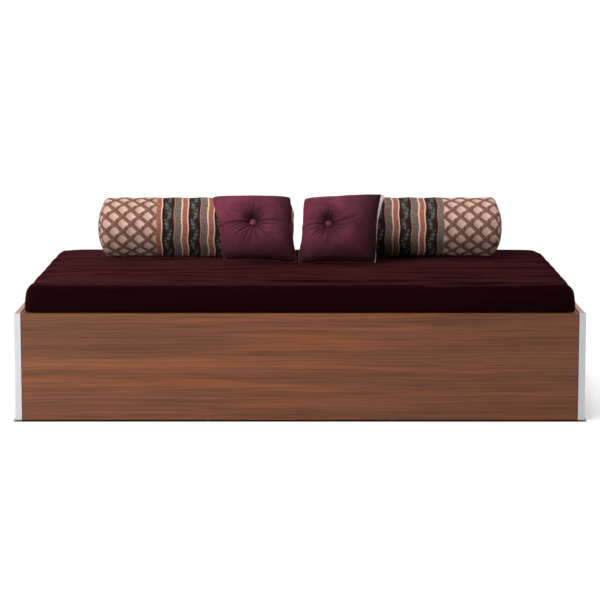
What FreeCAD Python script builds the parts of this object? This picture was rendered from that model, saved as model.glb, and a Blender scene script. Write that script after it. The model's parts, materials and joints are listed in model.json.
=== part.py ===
"""A daybed: a storage box in walnut laminate with aluminium edge profiles, a slab mattress on a lift-up
deck with two gas struts, two bolsters and two buttoned cushions.

Millimetres. Origin on the floor under the middle of the box, +X along the length, -Y to the front, +Z up.
"""
import FreeCAD, Part
import math
import os

import Sketcher

V = FreeCAD.Vector
ACROSS, UP = V(1, 0, 0), V(0, 0, 1)
LEFT, RIGHT = -1, 1
SIDES = {"left": LEFT, "right": RIGHT}
FRONT, BACK = -1, 1
ENDS = {"front": FRONT, "back": BACK}

doc = FreeCAD.newDocument("daybed")
sheet = doc.addObject("Spreadsheet::Sheet", "Dim")


# ---------------------------------------------------------------- sizes that carry their own formula
class Size:
    """A number together with the formula that works it out from the sheet's cells."""

    def __init__(self, value, text=None):
        self.value = float(value)
        self.text = text or f"({self.value})"

    def __add__(self, other):
        other = as_size(other)
        return Size(self.value + other.value, f"({self.text} + {other.text})")

    def __sub__(self, other):
        other = as_size(other)
        return Size(self.value - other.value, f"({self.text} - {other.text})")

    def __mul__(self, other):
        other = as_size(other)
        return Size(self.value * other.value, f"({self.text} * {other.text})")

    def __truediv__(self, other):
        other = as_size(other)
        return Size(self.value / other.value, f"({self.text} / {other.text})")

    def __neg__(self):
        return Size(-self.value, f"(0 - {self.text})")

    def __radd__(self, other):
        return as_size(other) + self

    def __rsub__(self, other):
        return as_size(other) - self

    __rmul__ = __mul__


def as_size(thing):
    return thing if isinstance(thing, Size) else Size(thing)


def cell(alias, number):
    """A driving dimension: a cell of the sheet under its own name."""
    row = len(sheet.getUsedCells()) // 2 + 1
    sheet.set(f"A{row}", alias)
    sheet.set(f"B{row}", str(number))
    sheet.setAlias(f"B{row}", alias)
    return Size(number, f"Dim.{alias}")


# box
WIDTH = cell("width", 1902)                     # over the edge profiles
DEPTH = cell("depth", 950)
RIM = cell("rim", 365)                          # top of the panels and of the deck
GLIDE = cell("glide", 4)
GLIDE_R = cell("glide_radius", 8)
BOARD = cell("board", 18)
PROFILE_WALL = cell("profile_wall", 2)
PROFILE_DEPTH = cell("profile_depth", 18)
PROFILE_NOSE = cell("profile_nose", 0.8)
JOINT_GAP = cell("joint_gap", 1)                # between a long panel and the edge profile
FLOOR_BOARD = cell("floor_board", 9)
BATTEN_W = cell("batten_width", 20)
BATTEN_H = cell("batten_height", 16)
LEDGER_W = cell("ledger_width", 22)
LEDGER_H = cell("ledger_height", 39.7)
BRACKET_ARM = cell("bracket_arm", 40)
BRACKET_H = cell("bracket_height", 20)
BRACKET_T = cell("bracket_sheet", 2)
# deck
DECK_BOARD = cell("deck_board", 12)
DECK_GAP = cell("deck_gap", 5)                  # from the deck to the end panels
DECK_GAP_FRONT = cell("deck_gap_front", 4)
RAIL_INSET = cell("rail_inset", 2)              # from the deck boards' edge to the outer rails
BOARD_GAP = cell("board_gap", 1)                # from the middle to each deck board
RAIL_SHIFT = cell("rail_shift", 13)             # of the outer cross rails, towards the middle
TUBE = cell("tube", 25)
TUBE_WALL = cell("tube_wall", 1.5)
REST_GAP = cell("rest_gap", 0.3)                # over the ledgers
# hinges
HINGE_Y = cell("hinge_back", 450)
HINGE_DROP = cell("hinge_drop", 4)              # pin under the rim
HINGE_LENGTH = cell("hinge_length", 100)
HINGE_SPACING = cell("hinge_spacing", 700)
KNUCKLE_R = cell("knuckle_radius", 4)
PIN_R = cell("pin_radius", 2)
LEAF = cell("leaf", 2.5)
LEAF_H = cell("leaf_height", 25)
LEAF_TOP = cell("leaf_top", 5)                  # leaf's top edge under the pin
TONGUE = cell("tongue", 1.5)                    # half the web from a leaf to its knuckle
RUNNING = cell("running_fit", 0.05)
# gas struts
STRUT_X = cell("strut_across", 910)
STRUT_FOOT_Y = cell("strut_foot_back", 396)
STRUT_FOOT_Z = cell("strut_foot_up", 135)
STRUT_HEAD_Y = cell("strut_head_back", 252)
STRUT_HEAD_DROP = cell("strut_head_drop", 17)   # pivot under the side rail
BARREL_R = cell("barrel_radius", 10)
BARREL_WALL = cell("barrel_wall", 1)
BARREL_END = cell("barrel_end", 190)
ROD_R = cell("rod_radius", 4)
EYE_R = cell("eye_radius", 9)
EYE_T = cell("eye_thickness", 10)
EYE_NECK = cell("eye_neck", 6)                  # from a pivot to where the barrel or rod starts
NECK_R = cell("neck_radius", 4)
BARREL_FOOT = cell("barrel_foot", 12)
BARREL_CAP = cell("barrel_cap", 4)              # closed end's thickness
GLAND = cell("gland", 12)
PISTON_LOW = cell("piston_low", 20)
PISTON_HIGH = cell("piston_high", 30)
FOOT_PLATE = cell("foot_plate", 3)
FOOT_HALF_W = cell("foot_half_width", 18)
FOOT_HALF_H = cell("foot_half_height", 34)
SHOULDER_R = cell("shoulder_radius", 8)
CLIP_R = cell("clip_radius", 6.5)
CLIP_T = cell("clip_thickness", 2)
SIDE_PLAY = cell("side_play", 0.5)              # each side of the foot's eye
HEAD_R = cell("head_pin_radius", 6)
HEAD_T = cell("head_pin_head", 3)
HEAD_GAP = cell("head_gap", 1)                  # between the rod's eye and the head plate
HEAD_BOSS = cell("head_boss", 0.6)
HEAD_PLATE = cell("head_plate", 3)
HEAD_FLANGE = cell("head_flange", 5)
HEAD_LOW = cell("head_low", 9)                  # head plate's edge under the pivot
# screws
SCREW_HEAD_R = cell("screw_head_radius", 3.6)
SCREW_HEAD_T = cell("screw_head", 1.2)
SCREW_R = cell("screw_radius", 1.6)
SCREW_HOLE = cell("screw_hole_radius", 2)
SCREW_SINK = cell("screw_sink", 2)
SHORT_SCREW = cell("short_screw", 14)
LONG_SCREW = cell("long_screw", 34)
SUNK_SCREW = cell("sunk_screw", 20)
# mattress
MATTRESS_X = cell("mattress_length", 1846)
MATTRESS_FRONT = cell("mattress_front", 467)
MATTRESS_BACK = cell("mattress_back", 447)
MATTRESS_TOP = cell("mattress_top", 455)
MATTRESS_ROUND = cell("mattress_round", 20)
MATTRESS_CORNER = cell("mattress_corner", 45)
COVER = cell("cover", 2)                        # upholstery with its lining
SOFT_GAP = cell("soft_gap", 0.5)
ZIP_W = cell("zip_width", 9)
ZIP_T = cell("zip_thickness", 1.2)
ZIP_HALF = cell("mattress_zip_half", 700)
# bolsters
BOLSTER_R = cell("bolster_radius", 112)
BOLSTER_L = cell("bolster_length", 726)
BOLSTER_X = cell("bolster_middle", 381)
BOLSTER_Y = cell("bolster_back", 220)
BOLSTER_ROUND = cell("bolster_round", 24)
BOLSTER_LIFT = cell("bolster_lift", 0.3)        # over the mattress, beyond the soft gap
ZIP_SHORT = cell("bolster_zip_short", 60)       # from a bolster's rounding to its zip
# cushions
CUSHION_H = cell("cushion_height", 260)
CUSHION_LEAN = cell("cushion_lean", 27)
CUSHION_Y = cell("cushion_back", 55.5)
CUSHION_Z = cell("cushion_up", 572.5)
CROWN_FRONT = cell("crown_front", 50)
CROWN_BACK = cell("crown_back", 36)
TUFT_R = cell("tuft_radius", 45)
TUFT_DEPTH = cell("tuft_depth", 26)
TUFT_UP = cell("tuft_up", 25)
BUTTON_R = cell("button_radius", 11)
BUTTON_T = cell("button_thickness", 6)
BUTTON_ROUND = cell("button_round", 2)
DIMPLE_MARGIN = cell("dimple_margin", 2)        # of the dimple's floor, round the button
TWINE_R = cell("twine_radius", 1.5)
CUSHIONS = {
    "left": dict(middle=cell("left_middle", -157), low=cell("left_low", 257), high=cell("left_high", 278),
                 splay=cell("left_splay", -35), tuft=cell("left_tuft", -8)),
    "right": dict(middle=cell("right_middle", 141), low=cell("right_low", 276), high=cell("right_high", 268),
                  splay=cell("right_splay", 20), tuft=cell("right_tuft", -38)),
}

# planes that the pieces share
OUTSIDE = WIDTH / 2
PANEL_OUT = OUTSIDE - PROFILE_WALL
PANEL_IN = PANEL_OUT - BOARD
LONG_END = PANEL_IN - PROFILE_WALL - JOINT_GAP
FACE = DEPTH / 2
LONG_OUT = FACE - PROFILE_WALL
LONG_IN = LONG_OUT - BOARD
HALF_BOARD = BOARD / 2
DECK_UNDER = RIM - DECK_BOARD
FRAME_UNDER = DECK_UNDER - TUBE
LEDGER_TOP = FRAME_UNDER - REST_GAP
HINGE_Z = RIM - HINGE_DROP
DECK_BACK = HINGE_Y - KNUCKLE_R - LEAF
DECK_FRONT = LONG_IN - DECK_GAP_FRONT
DECK_SIDE = PANEL_IN - DECK_GAP
RAIL_SIDE = DECK_SIDE - RAIL_INSET
RAIL_FRONT = DECK_FRONT - RAIL_INSET
STRUT_HEAD_Z = FRAME_UNDER - STRUT_HEAD_DROP
MATTRESS_UNDER = RIM + SOFT_GAP
BOLSTER_Z = MATTRESS_TOP + SOFT_GAP + BOLSTER_R + BOLSTER_LIFT
CROSS_RAIL = WIDTH / 4 - RAIL_SHIFT              # middle of the outer cross rails
CROWN_STEPS = ((0, 1), (0.5, 0.87), (0.85, 0.62), (1, 0.34))   # share of the crown, share of the plan
BRACKET_LEVELS = (90, 240)
BRACKET_HOLES = (14, 30)
LEDGER_SCREWS = (150, 400, 650, 850)
DECK_SCREWS = (-250, 0, 250)
END_GLIDES = (-430, 0, 430)
LONG_GLIDES = (-310, 310)
MIDDLE_GLIDES = (-200, 200)
HINGE_HOLES = (-35, 0, 35)
KNUCKLES, KNUCKLE_GAP = 5, 0.2
FOOT_HOLES = ((0, -26), (0, 26))
ZIP_ANGLE = 45                                   # from straight down, towards the back


# ---------------------------------------------------------------- builders
def bind(thing, prop, size):
    thing.setExpression(prop, as_size(size).text)


def place(thing, at, axis=UP, turn=0):
    """Turns a piece about an axis through its own origin, then puts that origin at a point."""
    thing.Placement = FreeCAD.Placement(V(), FreeCAD.Rotation(axis, as_size(turn).value))
    if isinstance(turn, Size):
        bind(thing, "Placement.Rotation.Angle", turn)
    for letter, size in zip("xyz", at):
        bind(thing, f"Placement.Base.{letter}", size)
    return thing


def between(side, low, high):
    """A stretch on the positive side of the middle, or its mirror image on the other."""
    low, high = as_size(low), as_size(high)
    return (low, high) if side > 0 else (-high, -low)


def board(name, x, y, z):
    """A flat board or solid bar between two planes on each axis."""
    piece = doc.addObject("Part::Box", name)
    for prop, (low, high) in zip(("Length", "Width", "Height"), (x, y, z)):
        bind(piece, prop, as_size(high) - low)
    return place(piece, (x[0], y[0], z[0]))


def group(name, pieces):
    """Separate solids that share one node."""
    bundle = doc.addObject("Part::Compound", name)
    bundle.Links = pieces
    return bundle


def copies(name, master, places):
    """A group of copies of one piece, each at (point, axis, turn)."""
    links = []
    for number, (at, axis, turn) in enumerate(places, 1):
        link = doc.addObject("App::Link", f"{name}_{number}")
        link.LinkedObject = master
        links.append(place(link, at, axis, turn))
    return group(name, links)


def outline_on(body, plane, outlines, offset=(0, 0, 0)):
    """A sketch on a plane of the body. An outline is a list of corners, or a (middle, radius) circle."""
    sketch = body.newObject("Sketcher::SketchObject", f"{body.Name}_outline")
    planes = [feature for feature in body.Origin.OriginFeatures if feature.Role == plane]
    sketch.AttachmentSupport = [(planes[0], "")]
    sketch.MapMode = "FlatFace"
    for letter, size in zip("xyz", offset):
        bind(sketch, f"AttachmentOffset.Base.{letter}", size)

    def tie(kind, *where, size):
        index = sketch.addConstraint(Sketcher.Constraint(kind, *where, as_size(size).value))
        bind(sketch, f"Constraints[{index}]", size)

    for outline in outlines:
        first = sketch.GeometryCount
        if isinstance(outline, tuple):
            (across, along), radius = outline
            middle = V(as_size(across).value, as_size(along).value, 0)
            sketch.addGeometry(Part.Circle(middle, UP, as_size(radius).value), False)
            tie("DistanceX", -1, 1, first, 3, size=across)
            tie("DistanceY", -1, 1, first, 3, size=along)
            tie("Radius", first, size=radius)
            continue
        corners = [V(as_size(across).value, as_size(along).value, 0) for across, along in outline]
        for here, there in zip(corners, corners[1:] + corners[:1]):
            sketch.addGeometry(Part.LineSegment(here, there), False)
        for step, (across, along) in enumerate(outline):
            before = (step - 1) % len(outline)
            sketch.addConstraint(Sketcher.Constraint("Coincident", first + before, 2, first + step, 1))
            tie("DistanceX", -1, 1, first + step, 1, size=across)
            tie("DistanceY", -1, 1, first + step, 1, size=along)
    return sketch


def rectangle(across, along):
    """Corners of a rectangle between two pairs of lines."""
    return [(across[0], along[0]), (across[1], along[0]), (across[1], along[1]), (across[0], along[1])]


def new_body(name):
    return doc.addObject("PartDesign::Body", name)


def pad(body, plane, outlines, stretch, kind="PartDesign::Pad"):
    """Adds, or with a Pocket takes away, the outlines over a stretch along the plane's normal."""
    low, high = as_size(stretch[0]), as_size(stretch[1])
    feature = body.newObject(kind, f"{body.Name}_feature")
    feature.Profile = outline_on(body, plane, outlines, (0, 0, low))
    bind(feature, "Length", high - low)
    feature.Reversed = kind == "PartDesign::Pocket"
    body.Tip = feature
    return feature


def pocket(body, plane, outlines, stretch):
    return pad(body, plane, outlines, stretch, "PartDesign::Pocket")


def turned(body, outline, offset=(0, 0, 0), kind="PartDesign::Revolution"):
    """Adds, or with a Groove takes away, an outline of (radius, height) turned about the body's Z axis."""
    feature = body.newObject(kind, f"{body.Name}_turned")
    sketch = outline_on(body, "XZ_Plane", [outline], offset)
    feature.Profile = sketch
    feature.ReferenceAxis = (sketch, ["V_Axis"])
    feature.Angle = 360
    body.Tip = feature
    return feature


def rounded(body, base, radius, wanted):
    """Rounds the edges of a feature that a test picks out."""
    doc.recompute()
    names = [f"Edge{number}" for number, edge in enumerate(base.Shape.Edges, 1) if wanted(edge)]
    fillet = body.newObject("PartDesign::Fillet", f"{body.Name}_rounded")
    fillet.Base = (base, names)
    bind(fillet, "Radius", radius)
    body.Tip = fillet
    return fillet


def upright(edge):
    box = edge.BoundBox
    return box.XLength < 0.01 and box.YLength < 0.01


def minus(name, base, tool):
    """The base piece with the tool's room taken out of it."""
    piece = doc.addObject("Part::Cut", name)
    piece.Base, piece.Tool = base, tool
    return piece


# ---------------------------------------------------------------- the box
def box_panels():
    """Two long panels between two end panels."""
    upright_span = (GLIDE, RIM)
    pieces = []
    for end, way in ENDS.items():
        along = between(way, LONG_IN, LONG_OUT)
        pieces.append(board(f"{end}_panel", (-LONG_END, LONG_END), along, upright_span))
    for side, way in SIDES.items():
        across = between(way, PANEL_IN, PANEL_OUT)
        pieces.append(board(f"{side}_end_panel", across, (-LONG_OUT, LONG_OUT), upright_span))
    return pieces


def edge_profiles():
    """Aluminium channels that hold the upright edges of the end panels."""
    pieces = []
    for end, facing in ENDS.items():
        for side, way in SIDES.items():
            body = new_body(f"edge_profile_{end}_{side}")
            outer, inner = OUTSIDE, PANEL_IN - PROFILE_WALL
            lip = FACE - PROFILE_DEPTH
            channel = [(outer, lip), (outer, FACE), (inner, FACE), (inner, lip),
                       (PANEL_IN, lip), (PANEL_IN, LONG_OUT), (PANEL_OUT, LONG_OUT), (PANEL_OUT, lip)]
            corners = [(across * way, along * facing) for across, along in channel]
            base = pad(body, "XY_Plane", [corners], (GLIDE, RIM))
            face = (FACE * facing).value
            rounded(body, base, PROFILE_NOSE,
                    lambda edge: upright(edge) and abs(edge.BoundBox.YMin - face) < 0.01)
            pieces.append(body)
    return pieces


def floor_glides():
    """Plastic discs under the end panels, the long panels and the partition."""
    master = new_body("glide")
    turned(master, rectangle((0, GLIDE_R), (0, GLIDE)))
    middle_y, middle_x = LONG_IN + HALF_BOARD, PANEL_IN + HALF_BOARD
    spots = [(middle_x * way, reach) for way in (LEFT, RIGHT) for reach in END_GLIDES]
    spots += [(reach, middle_y * way) for way in (FRONT, BACK) for reach in LONG_GLIDES]
    spots += [(0, reach) for reach in MIDDLE_GLIDES]
    return [copies("floor_glides", master, [((x, y, 0), UP, 0) for x, y in spots])]


def box_inside():
    """Partition, storage floors on battens, and the ledgers that the deck comes down on."""
    pieces = [board("centre_partition", (-HALF_BOARD, HALF_BOARD), (-LONG_IN, LONG_IN), (GLIDE, LEDGER_TOP))]
    floor_under = GLIDE + BATTEN_H
    for side, way in SIDES.items():
        across = between(way, HALF_BOARD, LONG_END)
        pieces.append(board(f"storage_floor_{side}", across, (-LONG_IN, LONG_IN),
                            (floor_under, floor_under + FLOOR_BOARD)))
    for end, facing in ENDS.items():
        ledger, batten = [], []
        for side, way in SIDES.items():
            across = between(way, HALF_BOARD, LONG_END)
            ledger.append(board(f"ledger_{end}_{side}", across, between(facing, LONG_IN - LEDGER_W, LONG_IN),
                                (LEDGER_TOP - LEDGER_H, LEDGER_TOP)))
            batten.append(board(f"batten_{end}_{side}", across, between(facing, LONG_IN - BATTEN_W, LONG_IN),
                                (GLIDE, floor_under)))
        pieces.append(group(f"deck_ledger_{end}", ledger))
        pieces.append(group(f"floor_batten_{end}", batten))
    return pieces


CORNERS = [(RIGHT, FRONT, 0), (RIGHT, BACK, 90), (LEFT, BACK, 180), (LEFT, FRONT, 270)]


def corner_brackets():
    """Steel angles that join the panels inside the four corners, with screw holes."""
    angle = new_body("corner_angle")
    arm = BRACKET_ARM
    corners = [(0, 0), (0, arm), (-BRACKET_T, arm), (-BRACKET_T, BRACKET_T), (-arm, BRACKET_T), (-arm, 0)]
    pad(angle, "XY_Plane", [corners], (-BRACKET_H / 2, BRACKET_H / 2))
    pocket(angle, "XZ_Plane", [((-reach, 0), SCREW_HOLE) for reach in BRACKET_HOLES], (-BRACKET_T, 0))
    pocket(angle, "YZ_Plane", [((reach, 0), SCREW_HOLE) for reach in BRACKET_HOLES], (-BRACKET_T, 0))
    places = [((PANEL_IN * way, LONG_IN * facing, level), UP, turn)
              for way, facing, turn in CORNERS for level in BRACKET_LEVELS]
    return [copies("corner_brackets", angle, places)]


def screw(name, length, countersunk=False):
    """A screw pointing down its own Z axis, its head on the surface, or sunk in it."""
    body = new_body(name)
    if countersunk:
        head = [(0, 0), (SCREW_HEAD_R, 0), (SCREW_R, -SCREW_SINK)]
    else:
        head = [(0, SCREW_HEAD_T), (SCREW_HEAD_R, SCREW_HEAD_T), (SCREW_HEAD_R, 0), (SCREW_R, 0)]
    turned(body, head + [(SCREW_R, -length), (0, -length)])
    return body


# a screw points down its own Z axis, so these turns point it along each direction
TO_FRONT, TO_BACK = (ACROSS, -90), (ACROSS, 90)
TO_LEFT, TO_RIGHT = (V(0, 1, 0), 90), (V(0, 1, 0), -90)
DOWN = (UP, 0)
ALONG_X = {LEFT: TO_LEFT, RIGHT: TO_RIGHT}
ALONG_Y = {FRONT: TO_FRONT, BACK: TO_BACK}


def screws():
    """The wood screws, grouped by what they drive into."""
    short, long = screw("short_screw", SHORT_SCREW), screw("long_screw", LONG_SCREW)
    sunk = screw("sunk_screw", SUNK_SCREW, countersunk=True)
    frame, ledger, leaf, deck = [], [], [], []
    for way, facing, _ in CORNERS:
        for level in BRACKET_LEVELS:
            for reach in BRACKET_HOLES:
                on_long = ((PANEL_IN - reach) * way, (LONG_IN - BRACKET_T) * facing, level)
                on_end = ((PANEL_IN - BRACKET_T) * way, (LONG_IN - reach) * facing, level)
                frame += [(on_long, *ALONG_Y[facing]), (on_end, *ALONG_X[way])]
        for reach in LEDGER_SCREWS:
            at = (reach * way, (LONG_IN - LEDGER_W) * facing, LEDGER_TOP - LEDGER_H / 2)
            ledger.append((at, *ALONG_Y[facing]))
    for hinge in (-1, 0, 1):
        for reach in HINGE_HOLES:
            across, level = HINGE_SPACING * hinge + reach, HINGE_Z - LEAF_TOP - LEAF_H / 2
            frame.append(((across, LONG_IN - LEAF, level), *TO_BACK))
            leaf.append(((across, DECK_BACK + LEAF, level), *TO_FRONT))
    for way in (LEFT, RIGHT):
        for along, level in FOOT_HOLES:
            at = ((PANEL_IN - FOOT_PLATE) * way, STRUT_FOOT_Y + along, STRUT_FOOT_Z + level)
            frame.append((at, *ALONG_X[way]))
        for reach in LEDGER_SCREWS:
            for row in (TUBE / 2 - RAIL_FRONT, DECK_BACK - TUBE / 2):
                deck.append(((reach * way, row, RIM), *DOWN))
        for along in DECK_SCREWS:
            for reach in (TUBE / 4, CROSS_RAIL, RAIL_SIDE - TUBE / 2):
                deck.append(((reach * way, along, RIM), *DOWN))
    in_deck = [copies("leaf_screws", short, leaf), copies("board_screws", sunk, deck)]
    return [copies("frame_screws", short, frame), copies("ledger_screws", long, ledger),
            group("deck_screws", in_deck)]


# ---------------------------------------------------------------- the deck
def tube(name, plane, middle, stretch):
    """Square steel tube along a plane's normal, round a middle (across, along) on that plane."""
    body = new_body(name)
    outlines = []
    for half in (TUBE / 2, TUBE / 2 - TUBE_WALL):
        outlines.append(rectangle(*[(as_size(line) - half, as_size(line) + half) for line in middle]))
    pad(body, plane, outlines, stretch)
    return body


def deck():
    """Two boards that meet in the middle, on a welded frame of steel tube."""
    pieces = []
    level = FRAME_UNDER + TUBE / 2
    front_row, back_row = TUBE / 2 - RAIL_FRONT, DECK_BACK - TUBE / 2
    for side, way in SIDES.items():
        across = between(way, BOARD_GAP, DECK_SIDE)
        pieces.append(board(f"deck_board_{side}", across, (-DECK_FRONT, DECK_BACK), (DECK_UNDER, RIM)))
    for end, row in (("front", front_row), ("back", back_row)):
        pieces.append(tube(f"deck_{end}_rail", "YZ_Plane", (row, level), (-RAIL_SIDE, RAIL_SIDE)))
    # the XZ plane's normal points to the front
    between_rails = (-(back_row - TUBE / 2), -(front_row + TUBE / 2))
    for side, way in SIDES.items():
        across = (RAIL_SIDE - TUBE / 2) * way
        pieces.append(tube(f"deck_side_rail_{side}", "XZ_Plane", (across, level), between_rails))
    cross = [tube(f"cross_rail_{step + 2}", "XZ_Plane", (CROSS_RAIL * step, level), between_rails)
             for step in (-1, 0, 1)]
    pieces.append(group("deck_cross_rails", cross))
    return pieces


def hinge_leaf(name, way, knuckles):
    """One leaf with its knuckles, round a pin along X. way is +1 for the leaf behind the pin."""
    leaf = new_body(name)
    near = KNUCKLE_R if way < 0 else LONG_IN - HINGE_Y - LEAF
    plate = between(way, near, near + LEAF)
    half = HINGE_LENGTH / 2
    pad(leaf, "YZ_Plane", [rectangle(plate, (-LEAF_TOP - LEAF_H, -LEAF_TOP))], (-half, half))
    for number in knuckles:
        low = HINGE_LENGTH * number / KNUCKLES - half + KNUCKLE_GAP
        high = HINGE_LENGTH * (number + 1) / KNUCKLES - half - KNUCKLE_GAP
        pad(leaf, "YZ_Plane", [rectangle(plate, (-LEAF_TOP, 0))], (low, high))
        pad(leaf, "YZ_Plane", [rectangle(between(way, PIN_R, near + LEAF), (-TONGUE, TONGUE))], (low, high))
        pad(leaf, "YZ_Plane", [((0, 0), KNUCKLE_R)], (low, high))
    bore = PIN_R if way > 0 else PIN_R + RUNNING
    pocket(leaf, "YZ_Plane", [((0, 0), bore)], (-half, half))
    # the XZ plane's normal points to the front, so a stretch along it runs from back to front
    holes = [((reach, -LEAF_TOP - LEAF_H / 2), SCREW_HOLE) for reach in HINGE_HOLES]
    pocket(leaf, "XZ_Plane", holes, (-plate[1], -plate[0]))
    return leaf


def hinges():
    """Three butt hinges with their pins along the back panel's top edge."""
    fixed = hinge_leaf("fixed_leaf", BACK, (0, 2, 4))
    moving = hinge_leaf("moving_leaf", FRONT, (1, 3))
    pin = new_body("pin")
    pad(pin, "YZ_Plane", [((0, 0), PIN_R)], (-HINGE_LENGTH / 2, HINGE_LENGTH / 2))
    places = [((HINGE_SPACING * step, HINGE_Y, HINGE_Z), UP, 0) for step in (-1, 0, 1)]
    return [copies("hinge_fixed_leaves", fixed, places), copies("hinge_pins", pin, places),
            copies("hinge_moving_leaves", moving, places)]


# ---------------------------------------------------------------- gas struts
def strut(side, way):
    """A gas strut under a side rail: foot on the end panel, cylinder, rod, and the deck's head plate.

    The strut is drawn along its own Z axis from the foot's stud, and leans to meet the head plate.
    """
    rise, run = STRUT_HEAD_Z - STRUT_FOOT_Z, STRUT_HEAD_Y - STRUT_FOOT_Y
    length = Size(math.hypot(rise.value, run.value), f"sqrt({rise.text} ^ 2 + {run.text} ^ 2)")
    lean = Size(math.degrees(math.atan2(-run.value, rise.value)), f"atan2(0 - {run.text}; {rise.text})")
    foot_at = (STRUT_X * way, STRUT_FOOT_Y, STRUT_FOOT_Z)
    half_eye, panel = EYE_T / 2, PANEL_IN - STRUT_X

    def across(body, outlines, low, high):
        pad(body, "YZ_Plane", outlines, between(way, low, high))

    foot = new_body(f"strut_foot_{side}")
    holes = [((along, level), SCREW_HOLE) for along, level in FOOT_HOLES]
    plate = rectangle((-FOOT_HALF_W, FOOT_HALF_W), (-FOOT_HALF_H, FOOT_HALF_H))
    shoulder = half_eye + SIDE_PLAY
    across(foot, [plate] + holes, panel - FOOT_PLATE, panel)
    across(foot, [((0, 0), SHOULDER_R)], shoulder, panel - FOOT_PLATE)
    across(foot, [((0, 0), ROD_R)], -shoulder, shoulder)
    across(foot, [((0, 0), CLIP_R)], -shoulder - CLIP_T, -shoulder)
    place(foot, foot_at)

    cylinder = new_body(f"strut_cylinder_{side}")
    bore, gland = BARREL_R - BARREL_WALL, ROD_R + RUNNING
    closed = BARREL_FOOT + BARREL_CAP
    turned(cylinder, [(0, EYE_NECK), (NECK_R, EYE_NECK), (NECK_R, BARREL_FOOT), (BARREL_R, BARREL_FOOT),
                      (BARREL_R, BARREL_END), (gland, BARREL_END), (gland, BARREL_END - GLAND),
                      (bore, BARREL_END - GLAND), (bore, closed), (0, closed)])
    pad(cylinder, "YZ_Plane", [((0, 0), EYE_R), ((0, 0), ROD_R + RUNNING)], (-half_eye, half_eye))
    place(cylinder, foot_at, ACROSS, lean)

    rod = new_body(f"strut_rod_{side}")
    piston = bore - RUNNING
    turned(rod, [(0, PISTON_LOW), (piston, PISTON_LOW), (piston, PISTON_HIGH), (ROD_R, PISTON_HIGH),
                 (ROD_R, length - EYE_NECK), (0, length - EYE_NECK)])
    across(rod, [((0, length), EYE_R)], -half_eye, half_eye)
    across(rod, [((0, length), HEAD_R)], -half_eye - HEAD_T, -half_eye)
    place(rod, foot_at, ACROSS, lean)

    head = new_body(f"strut_head_{side}")
    near = half_eye + HEAD_GAP
    far = near + HEAD_PLATE
    wide = (-FOOT_HALF_W, FOOT_HALF_W)
    across(head, [rectangle(wide, (-HEAD_LOW, STRUT_HEAD_DROP))], near, far)
    across(head, [rectangle(wide, (STRUT_HEAD_DROP - HEAD_PLATE, STRUT_HEAD_DROP))], far, far + HEAD_FLANGE)
    across(head, [((0, 0), HEAD_R)], near - HEAD_BOSS, near)
    place(head, (STRUT_X * way, STRUT_HEAD_Y, STRUT_HEAD_Z))
    return [foot, cylinder, rod, head]


# ---------------------------------------------------------------- mattress, bolsters, cushions
def slab(name, inset):
    """A mattress-shaped solid, inset from the cover's outside, with rounded corners and edges."""
    body = new_body(name)
    half = MATTRESS_X / 2 - inset
    corners = rectangle((-half, half), (inset - MATTRESS_FRONT, MATTRESS_BACK - inset))
    base = pad(body, "XY_Plane", [corners], (MATTRESS_UNDER + inset, MATTRESS_TOP - inset))
    sides = rounded(body, base, MATTRESS_CORNER - inset, upright)
    rounded(body, sides, MATTRESS_ROUND - inset, lambda edge: edge.BoundBox.ZLength < 0.01)
    return body


def mattress():
    """Foam core in an upholstered cover, with a zip along the back."""
    core = slab("mattress_core", COVER)
    cover = minus("mattress_cover", slab("mattress_outside", Size(0)), core)
    middle = (MATTRESS_UNDER + MATTRESS_TOP) / 2
    zip_strip = board("mattress_zip", (-ZIP_HALF, ZIP_HALF), (MATTRESS_BACK, MATTRESS_BACK + ZIP_T),
                      (middle - ZIP_W / 2, middle + ZIP_W / 2))
    return [cover, core, zip_strip]


def roll(name, inset):
    """A bolster-shaped solid along its own Z axis."""
    body = new_body(name)
    half = BOLSTER_L / 2 - inset
    base = turned(body, rectangle((0, BOLSTER_R - inset), (-half, half)))
    rounded(body, base, BOLSTER_ROUND - inset, lambda edge: edge.BoundBox.ZLength < 0.01)
    return body


def bolster(side, way):
    """Round filling in a patterned cover, with a zip low on the back."""
    at = (BOLSTER_X * way, BOLSTER_Y, BOLSTER_Z)
    lying = (V(0, 1, 0), 90)
    core = place(roll(f"bolster_{side}_core", COVER), at, *lying)
    cover = minus(f"bolster_{side}_cover", place(roll(f"bolster_{side}_outside", Size(0)), at, *lying), core)
    zip_half = BOLSTER_L / 2 - BOLSTER_ROUND - ZIP_SHORT
    rings = []
    for name, radius in (("outer", BOLSTER_R + ZIP_T), ("inner", BOLSTER_R)):
        ring = doc.addObject("Part::Cylinder", f"zip_{name}_{side}")
        bind(ring, "Radius", radius)
        bind(ring, "Height", 2 * zip_half)
        bind(ring, "Angle", ZIP_W / BOLSTER_R * math.degrees(1))
        turn = FreeCAD.Rotation(ACROSS, ZIP_ANGLE) * FreeCAD.Rotation(V(0, 1, 0), 90)
        ring.Placement = FreeCAD.Placement(V(), turn)
        for letter, size in zip("xyz", (at[0] - zip_half, at[1], at[2])):
            bind(ring, f"Placement.Base.{letter}", size)
        rings.append(ring)
    return [cover, core, minus(f"bolster_{side}_zip", *rings)]


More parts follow.
